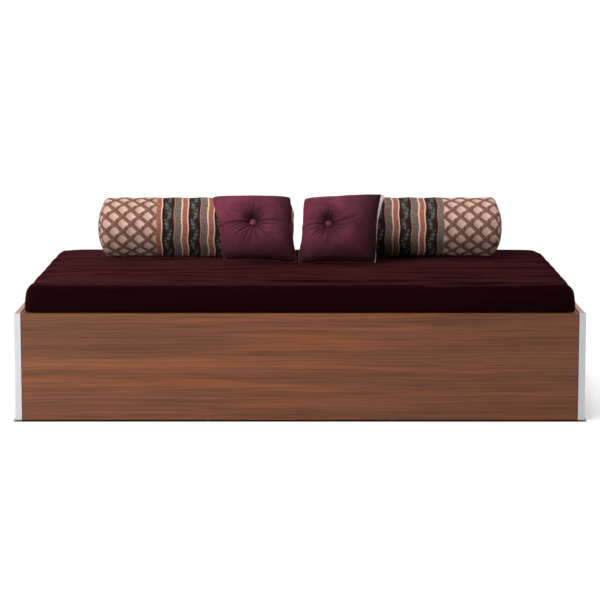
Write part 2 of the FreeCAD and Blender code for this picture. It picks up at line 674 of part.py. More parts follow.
def pillow_half(name, plan, crown, inset, tuft):
    """Half a buttoned cushion on its own XY plane: a stepped crown over the plan, with a tufted dimple.

    The plan is (low width, high width, splay, height); crown is signed, and the tuft is a point on XY.
    """
    low, high, splay, height = plan
    way = 1 if crown.value > 0 else -1
    body = new_body(name)
    seam = inset * 2                            # the lining is twice as deep along the seam
    sections = []
    for share, spread in CROWN_STEPS:
        half = (height / 2 - seam) * spread
        foot, head = (low / 2 - seam) * spread, (high / 2 - seam) * spread
        shift = splay / 2 * spread
        corners = [(-foot - shift, -half), (foot - shift, -half), (head + shift, half), (shift - head, half)]
        sections.append(outline_on(body, "XY_Plane", [corners], (0, 0, (crown - inset * way) * share)))
    loft = body.newObject("PartDesign::AdditiveLoft", f"{name}_crown")
    loft.Profile = sections[0]
    loft.Sections = [(section, [""]) for section in sections[1:]]
    loft.Ruled = True
    body.Tip = loft
    top, bottom = crown + way, crown - (TUFT_DEPTH + inset) * way
    # the XZ plane's normal points away from the tuft's height
    turned(body, [(0, bottom), (BUTTON_R + DIMPLE_MARGIN, bottom), (TUFT_R, crown), (TUFT_R, top), (0, top)],
           (tuft[0], 0, -tuft[1]), "PartDesign::Groove")
    return body


def disc(name, radius, stretch, tuft):
    """A round piece on the tuft's axis."""
    body = new_body(name)
    pad(body, "XY_Plane", [((tuft[0], tuft[1]), radius)], stretch)
    return body


def cushion(side, numbers):
    """Two cover halves round a filling, with a button each side drawn in by a twine through the middle."""
    plan = (numbers["low"], numbers["high"], numbers["splay"], CUSHION_H)
    tuft = (numbers["tuft"], TUFT_UP)
    leaning = ((numbers["middle"], CUSHION_Y, CUSHION_Z), ACROSS, 90 - CUSHION_LEAN)

    def half(name, crown, inset):
        return place(pillow_half(f"{name}_{side}", plan, crown, inset, tuft), *leaning)

    whole = doc.addObject("Part::Fuse", f"filling_{side}")
    whole.Base = half("filling_front", CROWN_FRONT, COVER)
    whole.Tool = half("filling_back", -CROWN_BACK, COVER)
    under = {"front": CROWN_FRONT - TUFT_DEPTH, "back": TUFT_DEPTH - CROWN_BACK}
    twine = place(disc(f"cushion_{side}_twine", TWINE_R, (under["back"], under["front"]), tuft), *leaning)
    core = minus(f"cushion_{side}_core", whole, twine)
    pieces = [core, twine]
    buttons = []
    for face, crown, facing in (("front", CROWN_FRONT, 1), ("back", -CROWN_BACK, -1)):
        outside = half(f"outside_{face}", crown, Size(0))
        lining = minus(f"lining_{face}_{side}", outside, whole)
        pieces.append(minus(f"cushion_{side}_{face}", lining, twine))
        button = disc(f"button_{face}_{side}", BUTTON_R, between(facing, 0, BUTTON_T), tuft)
        base = button.Tip
        rounded(button, base, BUTTON_ROUND,
                lambda edge: abs(abs(edge.BoundBox.ZMin) - BUTTON_T.value) < 0.01)
        drop = FreeCAD.Rotation(ACROSS, (90 - CUSHION_LEAN).value).multVec(UP * under[face].value)
        middle, along, level = leaning[0]
        buttons.append(place(button, (middle + drop.x, along + drop.y, level + drop.z), ACROSS, leaning[2]))
    pieces.append(group(f"cushion_{side}_buttons", buttons))
    return pieces


# ---------------------------------------------------------------- assembly
def check(pieces):
    """Stops before anything is written if a feature failed or a sub-part is not a sound solid."""
    for thing in doc.Objects:
        if "Invalid" in thing.State or "Error" in thing.State:
            raise RuntimeError(f"{thing.Name} failed: {thing.State}")
    for piece in pieces:
        shape = piece.Shape
        if shape.isNull() or not shape.isValid() or not shape.Solids:
            raise RuntimeError(f"{piece.Label} has no sound shape")


pieces = box_panels() + edge_profiles() + floor_glides() + box_inside() + corner_brackets() + screws()
pieces += deck() + hinges() + mattress()
for side, way in SIDES.items():
    pieces += strut(side, way) + bolster(side, way) + cushion(side, CUSHIONS[side])
doc.recompute()
check(pieces)

os.makedirs("parts", exist_ok=True)
for piece in pieces:
    piece.Shape.exportStep(f"parts/{piece.Label}.step")
    box = piece.Shape.BoundBox
    print(f"{piece.Label:26s} {len(piece.Shape.Solids):3d} {piece.Shape.Volume / 1000:11.1f} cm3",
          *[round(number, 1) for number in (box.XMin, box.XMax, box.YMin, box.YMax, box.ZMin, box.ZMax)])
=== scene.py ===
"""Looks of a daybed: walnut laminate box with aluminium edge profiles, slab mattress on a lift-up deck,
two patterned bolsters and two buttoned cushions. Metres, +X to the right, -Y to the front, +Z up."""
import json
import math

import bmesh
import bpy
import numpy as np
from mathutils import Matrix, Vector


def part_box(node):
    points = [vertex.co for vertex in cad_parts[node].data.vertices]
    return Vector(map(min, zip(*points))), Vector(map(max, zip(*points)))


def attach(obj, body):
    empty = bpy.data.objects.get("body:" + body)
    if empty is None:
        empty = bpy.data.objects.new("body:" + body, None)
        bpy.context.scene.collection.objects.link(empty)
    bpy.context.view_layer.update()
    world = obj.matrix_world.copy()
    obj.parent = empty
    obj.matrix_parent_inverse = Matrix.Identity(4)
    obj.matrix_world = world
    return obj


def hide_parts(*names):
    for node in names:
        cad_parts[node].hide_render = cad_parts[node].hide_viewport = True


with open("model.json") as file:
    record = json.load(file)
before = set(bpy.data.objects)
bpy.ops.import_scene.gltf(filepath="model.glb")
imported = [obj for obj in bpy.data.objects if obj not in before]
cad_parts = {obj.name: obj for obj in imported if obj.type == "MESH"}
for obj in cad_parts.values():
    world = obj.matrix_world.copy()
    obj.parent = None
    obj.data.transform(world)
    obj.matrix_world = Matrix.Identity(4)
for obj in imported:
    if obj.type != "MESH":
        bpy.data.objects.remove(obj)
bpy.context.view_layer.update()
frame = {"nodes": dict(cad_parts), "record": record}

NODES = frame["nodes"]
SIDES = ("left", "right")


# ---------------------------------------------------------------- camera
BOX_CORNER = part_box("edge_profile_front_left")[0]
EYE_AHEAD = 6.248          # in front of the box's face
EYE_HEIGHT = 1.436
EYE_PITCH = math.radians(6.617)
LENS = 114.36
SHIFT = -0.15              # keeps the uprights nearly parallel


def camera():
    """A long lens, level across, looking slightly down on the front."""
    data = bpy.data.cameras.new("view")
    data.lens, data.sensor_width, data.shift_y = LENS, 36, SHIFT
    data.clip_end = 60
    eye = bpy.data.objects.new("view", data)
    eye.location = (0, BOX_CORNER.y - EYE_AHEAD, EYE_HEIGHT)
    eye.rotation_euler = (math.pi / 2 - EYE_PITCH, 0, 0)
    bpy.context.scene.collection.objects.link(eye)
    bpy.context.scene.camera = eye


# ---------------------------------------------------------------- shader maths
class Wire:
    """A node's output socket, with arithmetic that adds Math nodes."""

    def __init__(self, kit, socket):
        self.kit, self.socket = kit, socket

    def _math(self, operation, *values):
        return self.kit.node("ShaderNodeMath", {"operation": operation}, values)

    def __add__(self, other):
        return self._math("ADD", self, other)

    def __sub__(self, other):
        return self._math("SUBTRACT", self, other)

    def __mul__(self, other):
        return self._math("MULTIPLY", self, other)

    def __truediv__(self, other):
        return self._math("DIVIDE", self, other)

    def __pow__(self, other):
        return self._math("POWER", self, other)

    def __mod__(self, other):
        return self._math("FLOORED_MODULO", self, other)

    def __gt__(self, other):
        return self._math("GREATER_THAN", self, other)

    def __rsub__(self, other):
        return self._math("SUBTRACT", other, self)

    def __neg__(self):
        return self * -1

    def __abs__(self):
        return self._math("ABSOLUTE", self)

    __radd__, __rmul__ = __add__, __mul__

    def do(self, operation, *values):
        return self._math(operation, self, *values)

    def within(self, low, high, edge):
        """1 between low and high, with soft edges."""
        rise, fall = [self.kit.smooth(self, line - edge, line + edge) for line in (low, high)]
        return rise * (1 - fall)


class Kit:
    """The nodes that a tree is built from."""

    def __init__(self, tree, coordinates):
        self.tree = tree
        self.where = self.node("ShaderNodeTexCoord", {}, (), coordinates)

    def node(self, kind, settings=None, values=(), output=0):
        """Any node: its settings, then the values or wires of its inputs, by order or by name."""
        made = self.tree.nodes.new(kind)
        for setting, value in (settings or {}).items():
            if setting == "stops":
                self._stops(made.color_ramp, value)
            else:
                setattr(made, setting, value)
        pairs = values.items() if isinstance(values, dict) else enumerate(values)
        for key, value in pairs:
            if value is None:
                continue
            if isinstance(value, Wire):
                self.tree.links.new(value.socket, made.inputs[key])
            else:
                made.inputs[key].default_value = value
        return Wire(self, made.outputs[output])

    @staticmethod
    def _stops(ramp, stops):
        while len(ramp.elements) < len(stops):
            ramp.elements.new(0.5)
        for element, (place, colour) in zip(ramp.elements, stops):
            element.position, element.color = place, colour

    def smooth(self, value, low, high):
        return self.node("ShaderNodeMapRange", {"interpolation_type": "SMOOTHSTEP"},
                         {"Value": value, "From Min": low, "From Max": high})

    def ramp(self, value, stops, interpolation="LINEAR"):
        made = self.node("ShaderNodeValToRGB", {"stops": stops}, (value,))
        made.socket.node.color_ramp.interpolation = interpolation
        return made

    def stretch(self, scale, where=None, offset=(0, 0, 0)):
        return self.node("ShaderNodeMapping", {},
                         {"Vector": where or self.where, "Scale": scale, "Location": offset})

    def noise(self, where, scale=1.0, detail=4.0, roughness=0.55, distortion=0.0):
        return self.node("ShaderNodeTexNoise", {}, {"Vector": where, "Scale": scale, "Detail": detail,
                                                    "Roughness": roughness, "Distortion": distortion})

    def split(self, where):
        made = self.node("ShaderNodeSeparateXYZ", {}, (where,))
        return [Wire(self, made.socket.node.outputs[axis]) for axis in range(3)]

    def join(self, x, y, z):
        return self.node("ShaderNodeCombineXYZ", {}, (x, y, z))

    def mix(self, factor, first, second):
        made = self.tree.nodes.new("ShaderNodeMix")
        made.data_type = "RGBA"
        for key, value in ((0, factor), (6, first), (7, second)):
            if isinstance(value, Wire):
                self.tree.links.new(value.socket, made.inputs[key])
            else:
                made.inputs[key].default_value = value
        return Wire(self, made.outputs[2])


class Finish(Kit):
    """One material: its node tree, and the shader that it ends in."""

    def __init__(self, name, **constants):
        self.material = bpy.data.materials.new(name)
        self.material.use_nodes = True
        super().__init__(self.material.node_tree, "Object")
        self.shader = self.tree.nodes["Principled BSDF"]
        for socket, value in constants.items():
            self.shader.inputs[socket.replace("_", " ")].default_value = value

    def feed(self, **sockets):
        for socket, wire in sockets.items():
            self.tree.links.new(wire.socket, self.shader.inputs[socket.replace("_", " ")])
        return self

    def bump(self, height, depth, strength=1.0):
        made = self.node("ShaderNodeBump", {}, {"Strength": strength, "Distance": depth, "Height": height})
        return self.feed(Normal=made)


def rgb(red, green, blue):
    """A colour given as display values out of 255, made linear."""
    share = [value / 255 for value in (red, green, blue)]
    return tuple(v / 12.92 if v <= 0.04045 else ((v + 0.055) / 1.055) ** 2.4 for v in share) + (1.0,)


# ---------------------------------------------------------------- finishes
EDGE_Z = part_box("front_panel")[1].z - 0.0006    # the painted colour of the panels' top faces starts here: painted shade under the mattress, painted highlight on the ends


def walnut(name, along, seed, painted_top_edge):
    """Laminate with straight, slightly wandering grain along one axis: broad brown and orange bands, streaks,
    thin dark lines and short pores."""
    skin = Finish(name, Roughness=0.42, Specular_IOR_Level=0.3)
    turn = 0 if along == "X" else math.pi / 2
    raised = seed * 1.3
    turned = skin.node("ShaderNodeMapping", {}, {"Vector": skin.where, "Location": (seed, seed * 0.7, raised),
                                                 "Rotation": (0, 0, turn)})
    x, y, z = skin.split(turned)
    wander = skin.noise(skin.join(x * 1.6, y, z * 5), 1.0, 2) - 0.5
    turned = skin.join(x, y + wander * 0.022, z + wander * 0.022)
    broad = skin.noise(skin.stretch((0.6, 9, 18), turned), 1.0, 4, 0.55, 0.4)
    warm = skin.noise(skin.stretch((1.0, 10, 22), turned, (3, 1, 7)), 1.0, 3, 0.5, 0.6)
    streak = skin.noise(skin.stretch((0.8, 90, 150), turned), 1.0, 6, 0.66, 0.3)
    fine = skin.noise(skin.stretch((4, 220, 330), turned), 1.0, 3, 0.6)
    pores = skin.noise(skin.stretch((14, 900, 1300), turned), 1.0, 2, 0.5)
    tone = broad * 0.32 + streak * 0.32 + fine * 0.36
    wood = skin.ramp(tone, [(0.32, rgb(52, 27, 13)), (0.42, rgb(79, 43, 22)), (0.5, rgb(96, 53, 28)),
                            (0.58, rgb(110, 61, 33)), (0.68, rgb(130, 75, 41))])
    wood = skin.mix(skin.smooth(warm, 0.5, 0.72) * 0.5, wood, rgb(134, 69, 34))
    wood = skin.mix(skin.smooth(warm, 0.48, 0.3) * 0.4, wood, rgb(70, 45, 28))
    thin = skin.noise(skin.stretch((1.6, 190, 300), turned, (5, 2, 1)), 1.0, 2, 0.5)
    lines = skin.smooth(thin, 0.54, 0.64)
    dark = skin.smooth(pores, 0.62, 0.74) * skin.smooth(streak, 0.62, 0.45)
    wood = skin.mix(lines * 0.44 + dark * 0.4, wood, rgb(48, 26, 15))
    # the top face takes a painted colour: painted shade where the mattress overhangs, painted highlight on
    # the end panels
    wood = skin.mix(skin.smooth(z - raised, EDGE_Z, EDGE_Z + 0.0004) * 0.8, wood, painted_top_edge)
    skin.feed(Base_Color=wood, Roughness=0.36 + fine * 0.2)
    return skin.bump(fine * 0.6 - dark * 0.8 - lines * 0.5, 0.0004, 0.35).material


def brushed_aluminium():
    """Satin anodised channel, brushed along its length."""
    skin = Finish("brushed_aluminium", Metallic=0.45, Specular_IOR_Level=0.4)
    lines = skin.noise(skin.stretch((900, 900, 4)), 1.0, 3, 0.6)
    cloud = skin.noise(skin.where, 9, 2)
    skin.feed(Base_Color=skin.mix(lines, rgb(168, 169, 171), rgb(190, 191, 193)),
              Roughness=0.38 + lines * 0.14 + cloud * 0.08)
    return skin.bump(lines, 0.0002, 0.25).material


def board_stock(name, light, dark, seed, along="X"):
    """Inner boards: faint straight grain along one axis, and small flecks."""
    skin = Finish(name, Roughness=0.62)
    long, short = (1.4, 26, 26), (60, 300, 300)
    if along == "Y":
        long, short = (26, 1.4, 26), (300, 60, 300)
    grain = skin.noise(skin.stretch(long, offset=(seed, seed, 0)), 1.0, 6, 0.65, 0.5)
    fleck = skin.noise(skin.stretch(short), 1.0, 2, 0.5)
    skin.feed(Base_Color=skin.mix(skin.smooth(grain, 0.3, 0.7) * 0.8 + fleck * 0.2, dark, light),
              Roughness=0.52 + grain * 0.2)
    return skin.bump(grain * 0.7 + fleck * 0.3, 0.0004, 0.4).material


def painted_steel():
    """Black powder coat with a fine orange-peel texture and slight wear."""
    skin = Finish("black_powder_coat")
    peel = skin.noise(skin.where, 900, 2)
    wear = skin.smooth(skin.noise(skin.where, 40, 5, 0.7), 0.62, 0.78)
    black = skin.mix(wear * 0.3, rgb(28, 28, 30), rgb(70, 70, 72))
    skin.feed(Base_Color=black, Roughness=0.38 + peel * 0.2)
    return skin.bump(peel, 0.0003, 0.3).material


def plated_steel():
    """Zinc plate, slightly cloudy."""
    skin = Finish("zinc_plate", Metallic=1.0)
    cloud = skin.noise(skin.where, 120, 4, 0.6)
    zinc = skin.mix(cloud, rgb(168, 168, 164), rgb(206, 206, 202))
    skin.feed(Base_Color=zinc, Roughness=0.26 + cloud * 0.2)
    return skin.bump(cloud, 0.0001, 0.2).material


def lightened(colour):
    """Half as light again, and a little more."""
    return tuple(min(1, share * 1.5 + 0.01) for share in colour[:3]) + (1,)


def black_glide():
    """Moulded plastic with a fine spark-eroded texture."""
    skin = Finish("black_glide", Roughness=0.5)
    spark = skin.noise(skin.where, 700, 2)
    black = rgb(24, 24, 25)
    skin.feed(Base_Color=skin.mix(spark, black, lightened(black)), Roughness=0.42 + spark * 0.2)
    return skin.bump(spark, 0.0002, 0.3).material


THREAD = 0.0011            # pitch of the woven threads
TWIST = 0.0016             # pitch of a cord's ribs
COIL = 0.0018              # pitch of a zip's coil
RIPPLE = 0.094             # length of the ripple in the printed lines, round the bolster


def threads(along, across):
    """Height of a plain weave: two rows of round threads that pass over and under each other."""
    turn = 2 * math.pi / THREAD
    warp, weft = (along * turn).do("SINE"), (across * turn).do("SINE")
    return (warp * weft) * 0.25 + abs(warp) * 0.2 + abs(weft) * 0.2


def maroon_cloth():
    """Close matt weave in dark maroon: a soft bloom at low angles, nearly black seen square on."""
    skin = Finish("maroon_cloth", Roughness=0.85, Sheen_Weight=0.58, Sheen_Roughness=0.3,
                  Sheen_Tint=rgb(140, 74, 74), Specular_IOR_Level=0.0)
    x, y, z = skin.split(skin.where)
    weave = threads(x + z * 0.5, y + z * 0.5)
    cloud = skin.noise(skin.stretch((0.8, 14, 14)), 1.0, 5, 0.6)
    lint = skin.noise(skin.where, 160, 3)
    tone = skin.smooth(cloud, 0.3, 0.72) * 0.7 + lint * 0.3
    skin.feed(Base_Color=skin.mix(tone, rgb(12, 2, 4), rgb(24, 6, 8)), Roughness=0.78 + lint * 0.16)
    return skin.bump(weave + cloud * 0.4, 0.0008, 0.5).material


def plum_velvet(name="plum_velvet", light=1.0):
    """Short pile in plum with a soft bloom, brushed unevenly, with painted shade from a point attribute:
    darker in the folds, round the buttons and towards the low and right edges.
    """
    skin = Finish(name, Roughness=0.6, Sheen_Weight=0.35, Sheen_Roughness=0.35,
                  Sheen_Tint=rgb(204, 84, 116), Specular_IOR_Level=0.06)
    nap = skin.noise(skin.where, 16, 5, 0.6, 0.4)
    pile = skin.noise(skin.where, 1400, 2)
    tone = skin.smooth(nap, 0.3, 0.7) * 0.75 + pile * 0.25
    fold = skin.node("ShaderNodeAttribute", {"attribute_name": "fold"}, (), "Fac")
    # light above 1 makes a lighter copy of the velvet, a painted highlight
    dark, bright = [rgb(*(light * c for c in colour)) for colour in ((82, 31, 46), (113, 50, 67))]
    plum = skin.mix(tone, dark, bright)
    # painted shade: the point attribute mixes the velvet towards near-black plum
    skin.feed(Base_Color=skin.mix(fold, plum, rgb(30, 13, 16)), Roughness=0.5 + pile * 0.2)
    return skin.bump(pile * 0.5 + nap * 0.5, 0.0006, 0.35).material


LATTICE_X = 0.061
LATTICE_ROUND = 0.0587
LATTICES_ROUND = 12         # this many go round a bolster
BLUSH, BLUSH_LIT, BARK = rgb(152, 120, 110), rgb(212, 181, 167), rgb(102, 63, 47)


def lattice(skin, along, around):
    """Mottled blush diamonds between brown bands of overlapping leaves, widest where the bands cross."""
    s, t = along / LATTICE_X, (around + 0.0036) / LATTICE_ROUND
    first, second = s + t, s - t
    one, two = abs((first % 1) - 0.5) * 2, abs((second % 1) - 0.5) * 2
    both = one.do("MINIMUM", two)
    teeth = ((first + second * 2) * (2 * math.pi * 2)).do("SINE") * 0.055
    edge = one.do("MAXIMUM", two) + teeth + both ** 3 * 0.16
    band = skin.smooth(edge, 0.62, 0.74)
    vein = skin.smooth(edge, 0.92, 0.99)
    dot = skin.smooth(both, 0.84, 0.92)
    mottle = skin.noise(skin.join(along, around, 0), 260, 4, 0.75)
    light = skin.smooth((first % 1) * 0.2 + (second % 1) * 0.2 + mottle * 0.6, 0.3, 0.68)
    face = skin.mix(light, BLUSH, BLUSH_LIT)
    face = skin.mix(band * (1 - vein * 0.22 - mottle * 0.1), face, BARK)
    return skin.mix(dot * 0.8, face, rgb(52, 28, 24)), band


STEM_PITCH = 0.041
BLOSSOMS = ((0.0, 0.006, 0.0076), (0.36, 0.003, 0.0058), (0.62, -0.010, 0.0044))   # shift, offset, size


def floral(skin, along, around):
    """Near-black ground with rusty blotches, and small grey-blue blossoms in pairs on a wandering stem."""
    where = skin.join(along, around, 0)
    blotch = skin.smooth(skin.noise(where, 70, 3, 0.6), 0.52, 0.66)
    fleck = skin.noise(where, 520, 3, 0.7)
    ground = skin.mix(blotch * 0.6, rgb(36, 21, 16), rgb(78, 42, 30))
    ground = skin.mix(skin.smooth(fleck, 0.52, 0.66) * 0.35, ground, rgb(92, 86, 78))
    curl = (around * (math.pi / STEM_PITCH)).do("SINE")
    stem = skin.smooth(abs(along - curl * 0.008), 0.0016, 0.0006)
    tangle = skin.noise(where, 95, 1, 0.4, 0.6)
    near_stem = skin.smooth(abs(along - curl * 0.005), 0.012, 0.008)
    tendril = skin.smooth(abs(tangle - 0.5), 0.030, 0.010) * near_stem
    cloth = skin.mix(stem * 0.3 + tendril * 0.6, ground, rgb(104, 112, 106))
    for shift, aside, size in BLOSSOMS:
        turned = around / STEM_PITCH + shift
        dy = ((turned % 1) - 0.5) * STEM_PITCH
        mirror = 1 - ((turned / 2) % 1 > 0.5) * 2
        dx = along - mirror * aside
        radius = (dx * dx + dy * dy) ** 0.5 / size
        petals = (dy.do("ARCTAN2", dx) * 5).do("COSINE") * 0.28 + 0.80
        bloom = skin.smooth(radius / petals, 1.15, 0.7) * skin.smooth(radius, 0.16, 0.40)
        cloth = skin.mix(bloom * (0.15 + skin.smooth(fleck, 0.38, 0.62) * 0.6), cloth, rgb(128, 142, 144))
    return cloth


STRIPE = 0.0952             # one repeat of the stripes
CREAM, CLAY, ROSE = rgb(212, 178, 160), rgb(150, 88, 66), rgb(150, 106, 94)
TERRACOTTA_TO, CREAM_TO, FLORAL_TO, ROSE_TO, TAUPE_TO = 0.182, 0.228, 0.668, 0.706, 0.945
SOFT_EDGE = 0.006           # of the stripes, as a share of the repeat
STRIPES = [(0.0, CLAY), (TERRACOTTA_TO, CREAM), (CREAM_TO, rgb(34, 22, 20)), (FLORAL_TO, ROSE),
           (ROSE_TO, rgb(128, 112, 98)), (TAUPE_TO, CREAM)]


def bolster_cloth(name, start, lattice_out, lattice_to):
    """Printed cotton: stripes that repeat from a starting line, and a lattice over the outer stretch.

    The pattern reads the piece's own UV map: metres along the bolster and metres round it.
    """
    skin = Finish(name, Roughness=0.8, Specular_IOR_Level=0.04)
    along, around, _ = skin.split(skin.node("ShaderNodeUVMap", {"uv_map": "cloth"}))
    drift = skin.noise(skin.join(along * 0.4, around, 0), 14, 2) - 0.5
    ripple = (around * (2 * math.pi / RIPPLE)).do("SINE") * 0.0016
    line = along + drift * 0.006 + ripple
    share = ((line - start) / STRIPE) % 1
    stripes = skin.ramp(share, STRIPES, "CONSTANT")
    band_middle = start + STRIPE * (CREAM_TO + FLORAL_TO) / 2
    local = ((line - band_middle) / STRIPE + 0.5) % 1 - 0.5
    flowers = floral(skin, local * STRIPE, around)
    woven = skin.noise(skin.join(line * 620, around * 60, 0), 1, 2) * 0.5 + skin.noise(
        skin.join(line * 60, around * 520, 0), 1, 2) * 0.5
    woven = skin.smooth(woven, 0.40, 0.60)
    taupe = skin.mix(woven, rgb(76, 64, 57), rgb(129, 112, 102))
    clay = skin.mix(woven, rgb(122, 72, 57), rgb(165, 106, 87))
    cloth = skin.mix(share.within(CREAM_TO, FLORAL_TO, SOFT_EDGE), stripes, flowers)
    cloth = skin.mix(share.within(ROSE_TO, TAUPE_TO, SOFT_EDGE), cloth, taupe)
    past_clay = skin.smooth(share, TERRACOTTA_TO - SOFT_EDGE, TERRACOTTA_TO + SOFT_EDGE)
    cloth = skin.mix(1 - past_clay, cloth, clay)
    diamonds, relief = lattice(skin, line - lattice_out, around)
    outer = line.within(min(lattice_out, lattice_to), max(lattice_out, lattice_to), 0.0006)
    cloth = skin.mix(outer, cloth, diamonds)
    lint = skin.noise(skin.where, 420, 3)
    cloth = skin.mix(lint * 0.22, cloth, skin.mix(0.5, cloth, rgb(60, 44, 40)))
    weave = threads(along, around)
    skin.feed(Base_Color=cloth, Roughness=0.72 + lint * 0.2)
    return skin.bump(weave + relief * outer * -0.5, 0.0008, 0.5).material


def back_cloth(name, pale):
    """Cotton of a cushion's back, with the lattice printed faintly; pale is how far it fades to off-white."""
    skin = Finish(name, Roughness=0.82, Specular_IOR_Level=0.06)
    along, around, _ = skin.split(skin.node("ShaderNodeUVMap", {"uv_map": "cloth"}))
    diamonds, _ = lattice(skin, along, around)
    lint = skin.noise(skin.where, 420, 3)
    faded = skin.mix(pale, diamonds, rgb(244, 234, 228))
    skin.feed(Base_Color=skin.mix(lint * 0.15, faded, rgb(150, 120, 108)), Roughness=0.74 + lint * 0.2)
    return skin.bump(threads(along, around), 0.0008, 0.5).material


def cord_cloth(name, colour):
    """Twisted cord: fine slanting ribs."""
    skin = Finish(name, Roughness=0.8, Specular_IOR_Level=0.06)
    x, y, z = skin.split(skin.where)
    ribs = ((x + y + z) * (2 * math.pi / TWIST)).do("SINE") * 0.5 + 0.5
    skin.feed(Base_Color=skin.mix(ribs * 0.5, colour, tuple(c * 0.55 for c in colour[:3]) + (1,)))
    return skin.bump(ribs, 0.0005, 0.5).material


def zip_tape():
    """Dark maroon tape under a fine nylon coil: ribs across the zip's length."""
    skin = Finish("zip_tape", Roughness=0.8, Specular_IOR_Level=0.08)
    x, _, _ = skin.split(skin.where)
    ribs = (x * (2 * math.pi / COIL)).do("SINE") * 0.5 + 0.5
    lint = skin.noise(skin.where, 300, 2)
    skin.feed(Base_Color=skin.mix(ribs * 0.7 + lint * 0.2, rgb(12, 3, 6), rgb(44, 16, 22)),
              Roughness=0.7 + lint * 0.2)
    return skin.bump(ribs, 0.0006, 0.6).material


# ---------------------------------------------------------------- meshes
def grid_faces(index, turned=False):
    """Quads of a grid of vertex numbers, turned over if asked."""
    quads = np.stack([index[:-1, :-1], index[1:, :-1], index[1:, 1:], index[:-1, 1:]], -1).reshape(-1, 4)
    return quads[:, ::-1] if turned else quads


def build(name, points, faces, material=None, uv=None):
    """A smooth mesh object from arrays; uv holds a pair for each vertex."""
    mesh = bpy.data.meshes.new(name)
    mesh.from_pydata(np.asarray(points).tolist(), [], np.asarray(faces).tolist())
    mesh.polygons.foreach_set("use_smooth", np.ones(len(mesh.polygons), bool))
    if uv is not None:
        loops = np.zeros(len(mesh.loops), np.int32)
        mesh.loops.foreach_get("vertex_index", loops)
        layer = mesh.uv_layers.new(name="cloth")
        layer.data.foreach_set("uv", np.asarray(uv, np.float32)[loops].ravel())
    if material:
        mesh.materials.append(material)
    piece = bpy.data.objects.new(name, mesh)
    bpy.context.scene.collection.objects.link(piece)
    return piece


def coords(piece):
    points = np.zeros(len(piece.data.vertices) * 3, np.float32)
    piece.data.vertices.foreach_get("co", points)
    return points.reshape(-1, 3).astype(float)


def set_coords(piece, points):
    piece.data.vertices.foreach_set("co", np.asarray(points, np.float32).ravel())
    piece.data.update()


def swell(piece, pressure, cap, pinned, bending, frames):
    """Blows a cover up with Cloth, limits each point's movement to the cap, and keeps the result."""
    start = coords(piece)
    cloth = piece.modifiers.new("swell", "CLOTH")
    settings = cloth.settings
    settings.quality = 6
    settings.use_pressure = True
    settings.uniform_pressure_force = pressure
    settings.tension_stiffness = settings.compression_stiffness = 18
    settings.shear_stiffness = 8
    settings.bending_stiffness = bending
    settings.effector_weights.gravity = 0
    if pinned is not None:
        group = piece.vertex_groups.new(name="pinned")
        group.add(np.flatnonzero(pinned).tolist(), 1.0, "REPLACE")
        settings.vertex_group_mass = "pinned"
    scene = bpy.context.scene
    for frame_number in range(1, frames + 1):
        scene.frame_set(frame_number)
    ready = piece.evaluated_get(bpy.context.evaluated_depsgraph_get())
    points = np.zeros(len(piece.data.vertices) * 3, np.float32)
    ready.data.vertices.foreach_get("co", points)
    moved = points.reshape(-1, 3) - start
    far = np.linalg.norm(moved, axis=1, keepdims=True)
    moved *= np.minimum(1, cap / np.maximum(far, 1e-9))
    piece.modifiers.remove(cloth)
    piece.vertex_groups.clear()
    scene.frame_set(1)
    set_coords(piece, start + moved)


def waves(x, y, seed, count, long, short, lean=0.12):
    """Sum of sine ridges that run mostly along x, each fading in and out: lengths long, widths short."""
    draw = np.random.default_rng(seed)
    total = np.zeros_like(x)
    for _ in range(count):
        width = short * draw.uniform(0.6, 1.6)
        slope = draw.normal(0, lean)
        middle_x, middle_y = draw.uniform(x.min(), x.max()), draw.uniform(y.min(), y.max())
        reach = long * draw.uniform(0.5, 1.3)
        wander = 0.15 * width * np.sin((x - middle_x) * 9)
        across = (y - middle_y - slope * (x - middle_x) - wander) / width
        along = (x - middle_x) / reach
        total += draw.uniform(0.4, 1) * draw.choice((-1, 1)) * np.exp(-across ** 2 - along ** 2)
    return total


# ---------------------------------------------------------------- mattress
PLAN_CORNER = 0.045
TOP_EDGES = (0.030, 0.014)     # rounding over the ends and over the long sides
BOTTOM_EDGES = (0.006, 0.006)
GRID_STEP = 0.0085
LEAN_IN = 0.011                # of the ends' top edge
SCALLOP = 0.150                # length of the waves along the ends' top edge
SCALLOP_UP, SCALLOP_IN = 0.0045, 0.006
CREASE, ROLL, TOP_CROWN = 0.0036, 0.0022, 0.0025    # heights on the top
SHY = (0.001, 0.002)           # how much shorter and narrower the cover starts, each side
PINNED_TO = 0.004              # above half height: lower points are held still while the cover swells


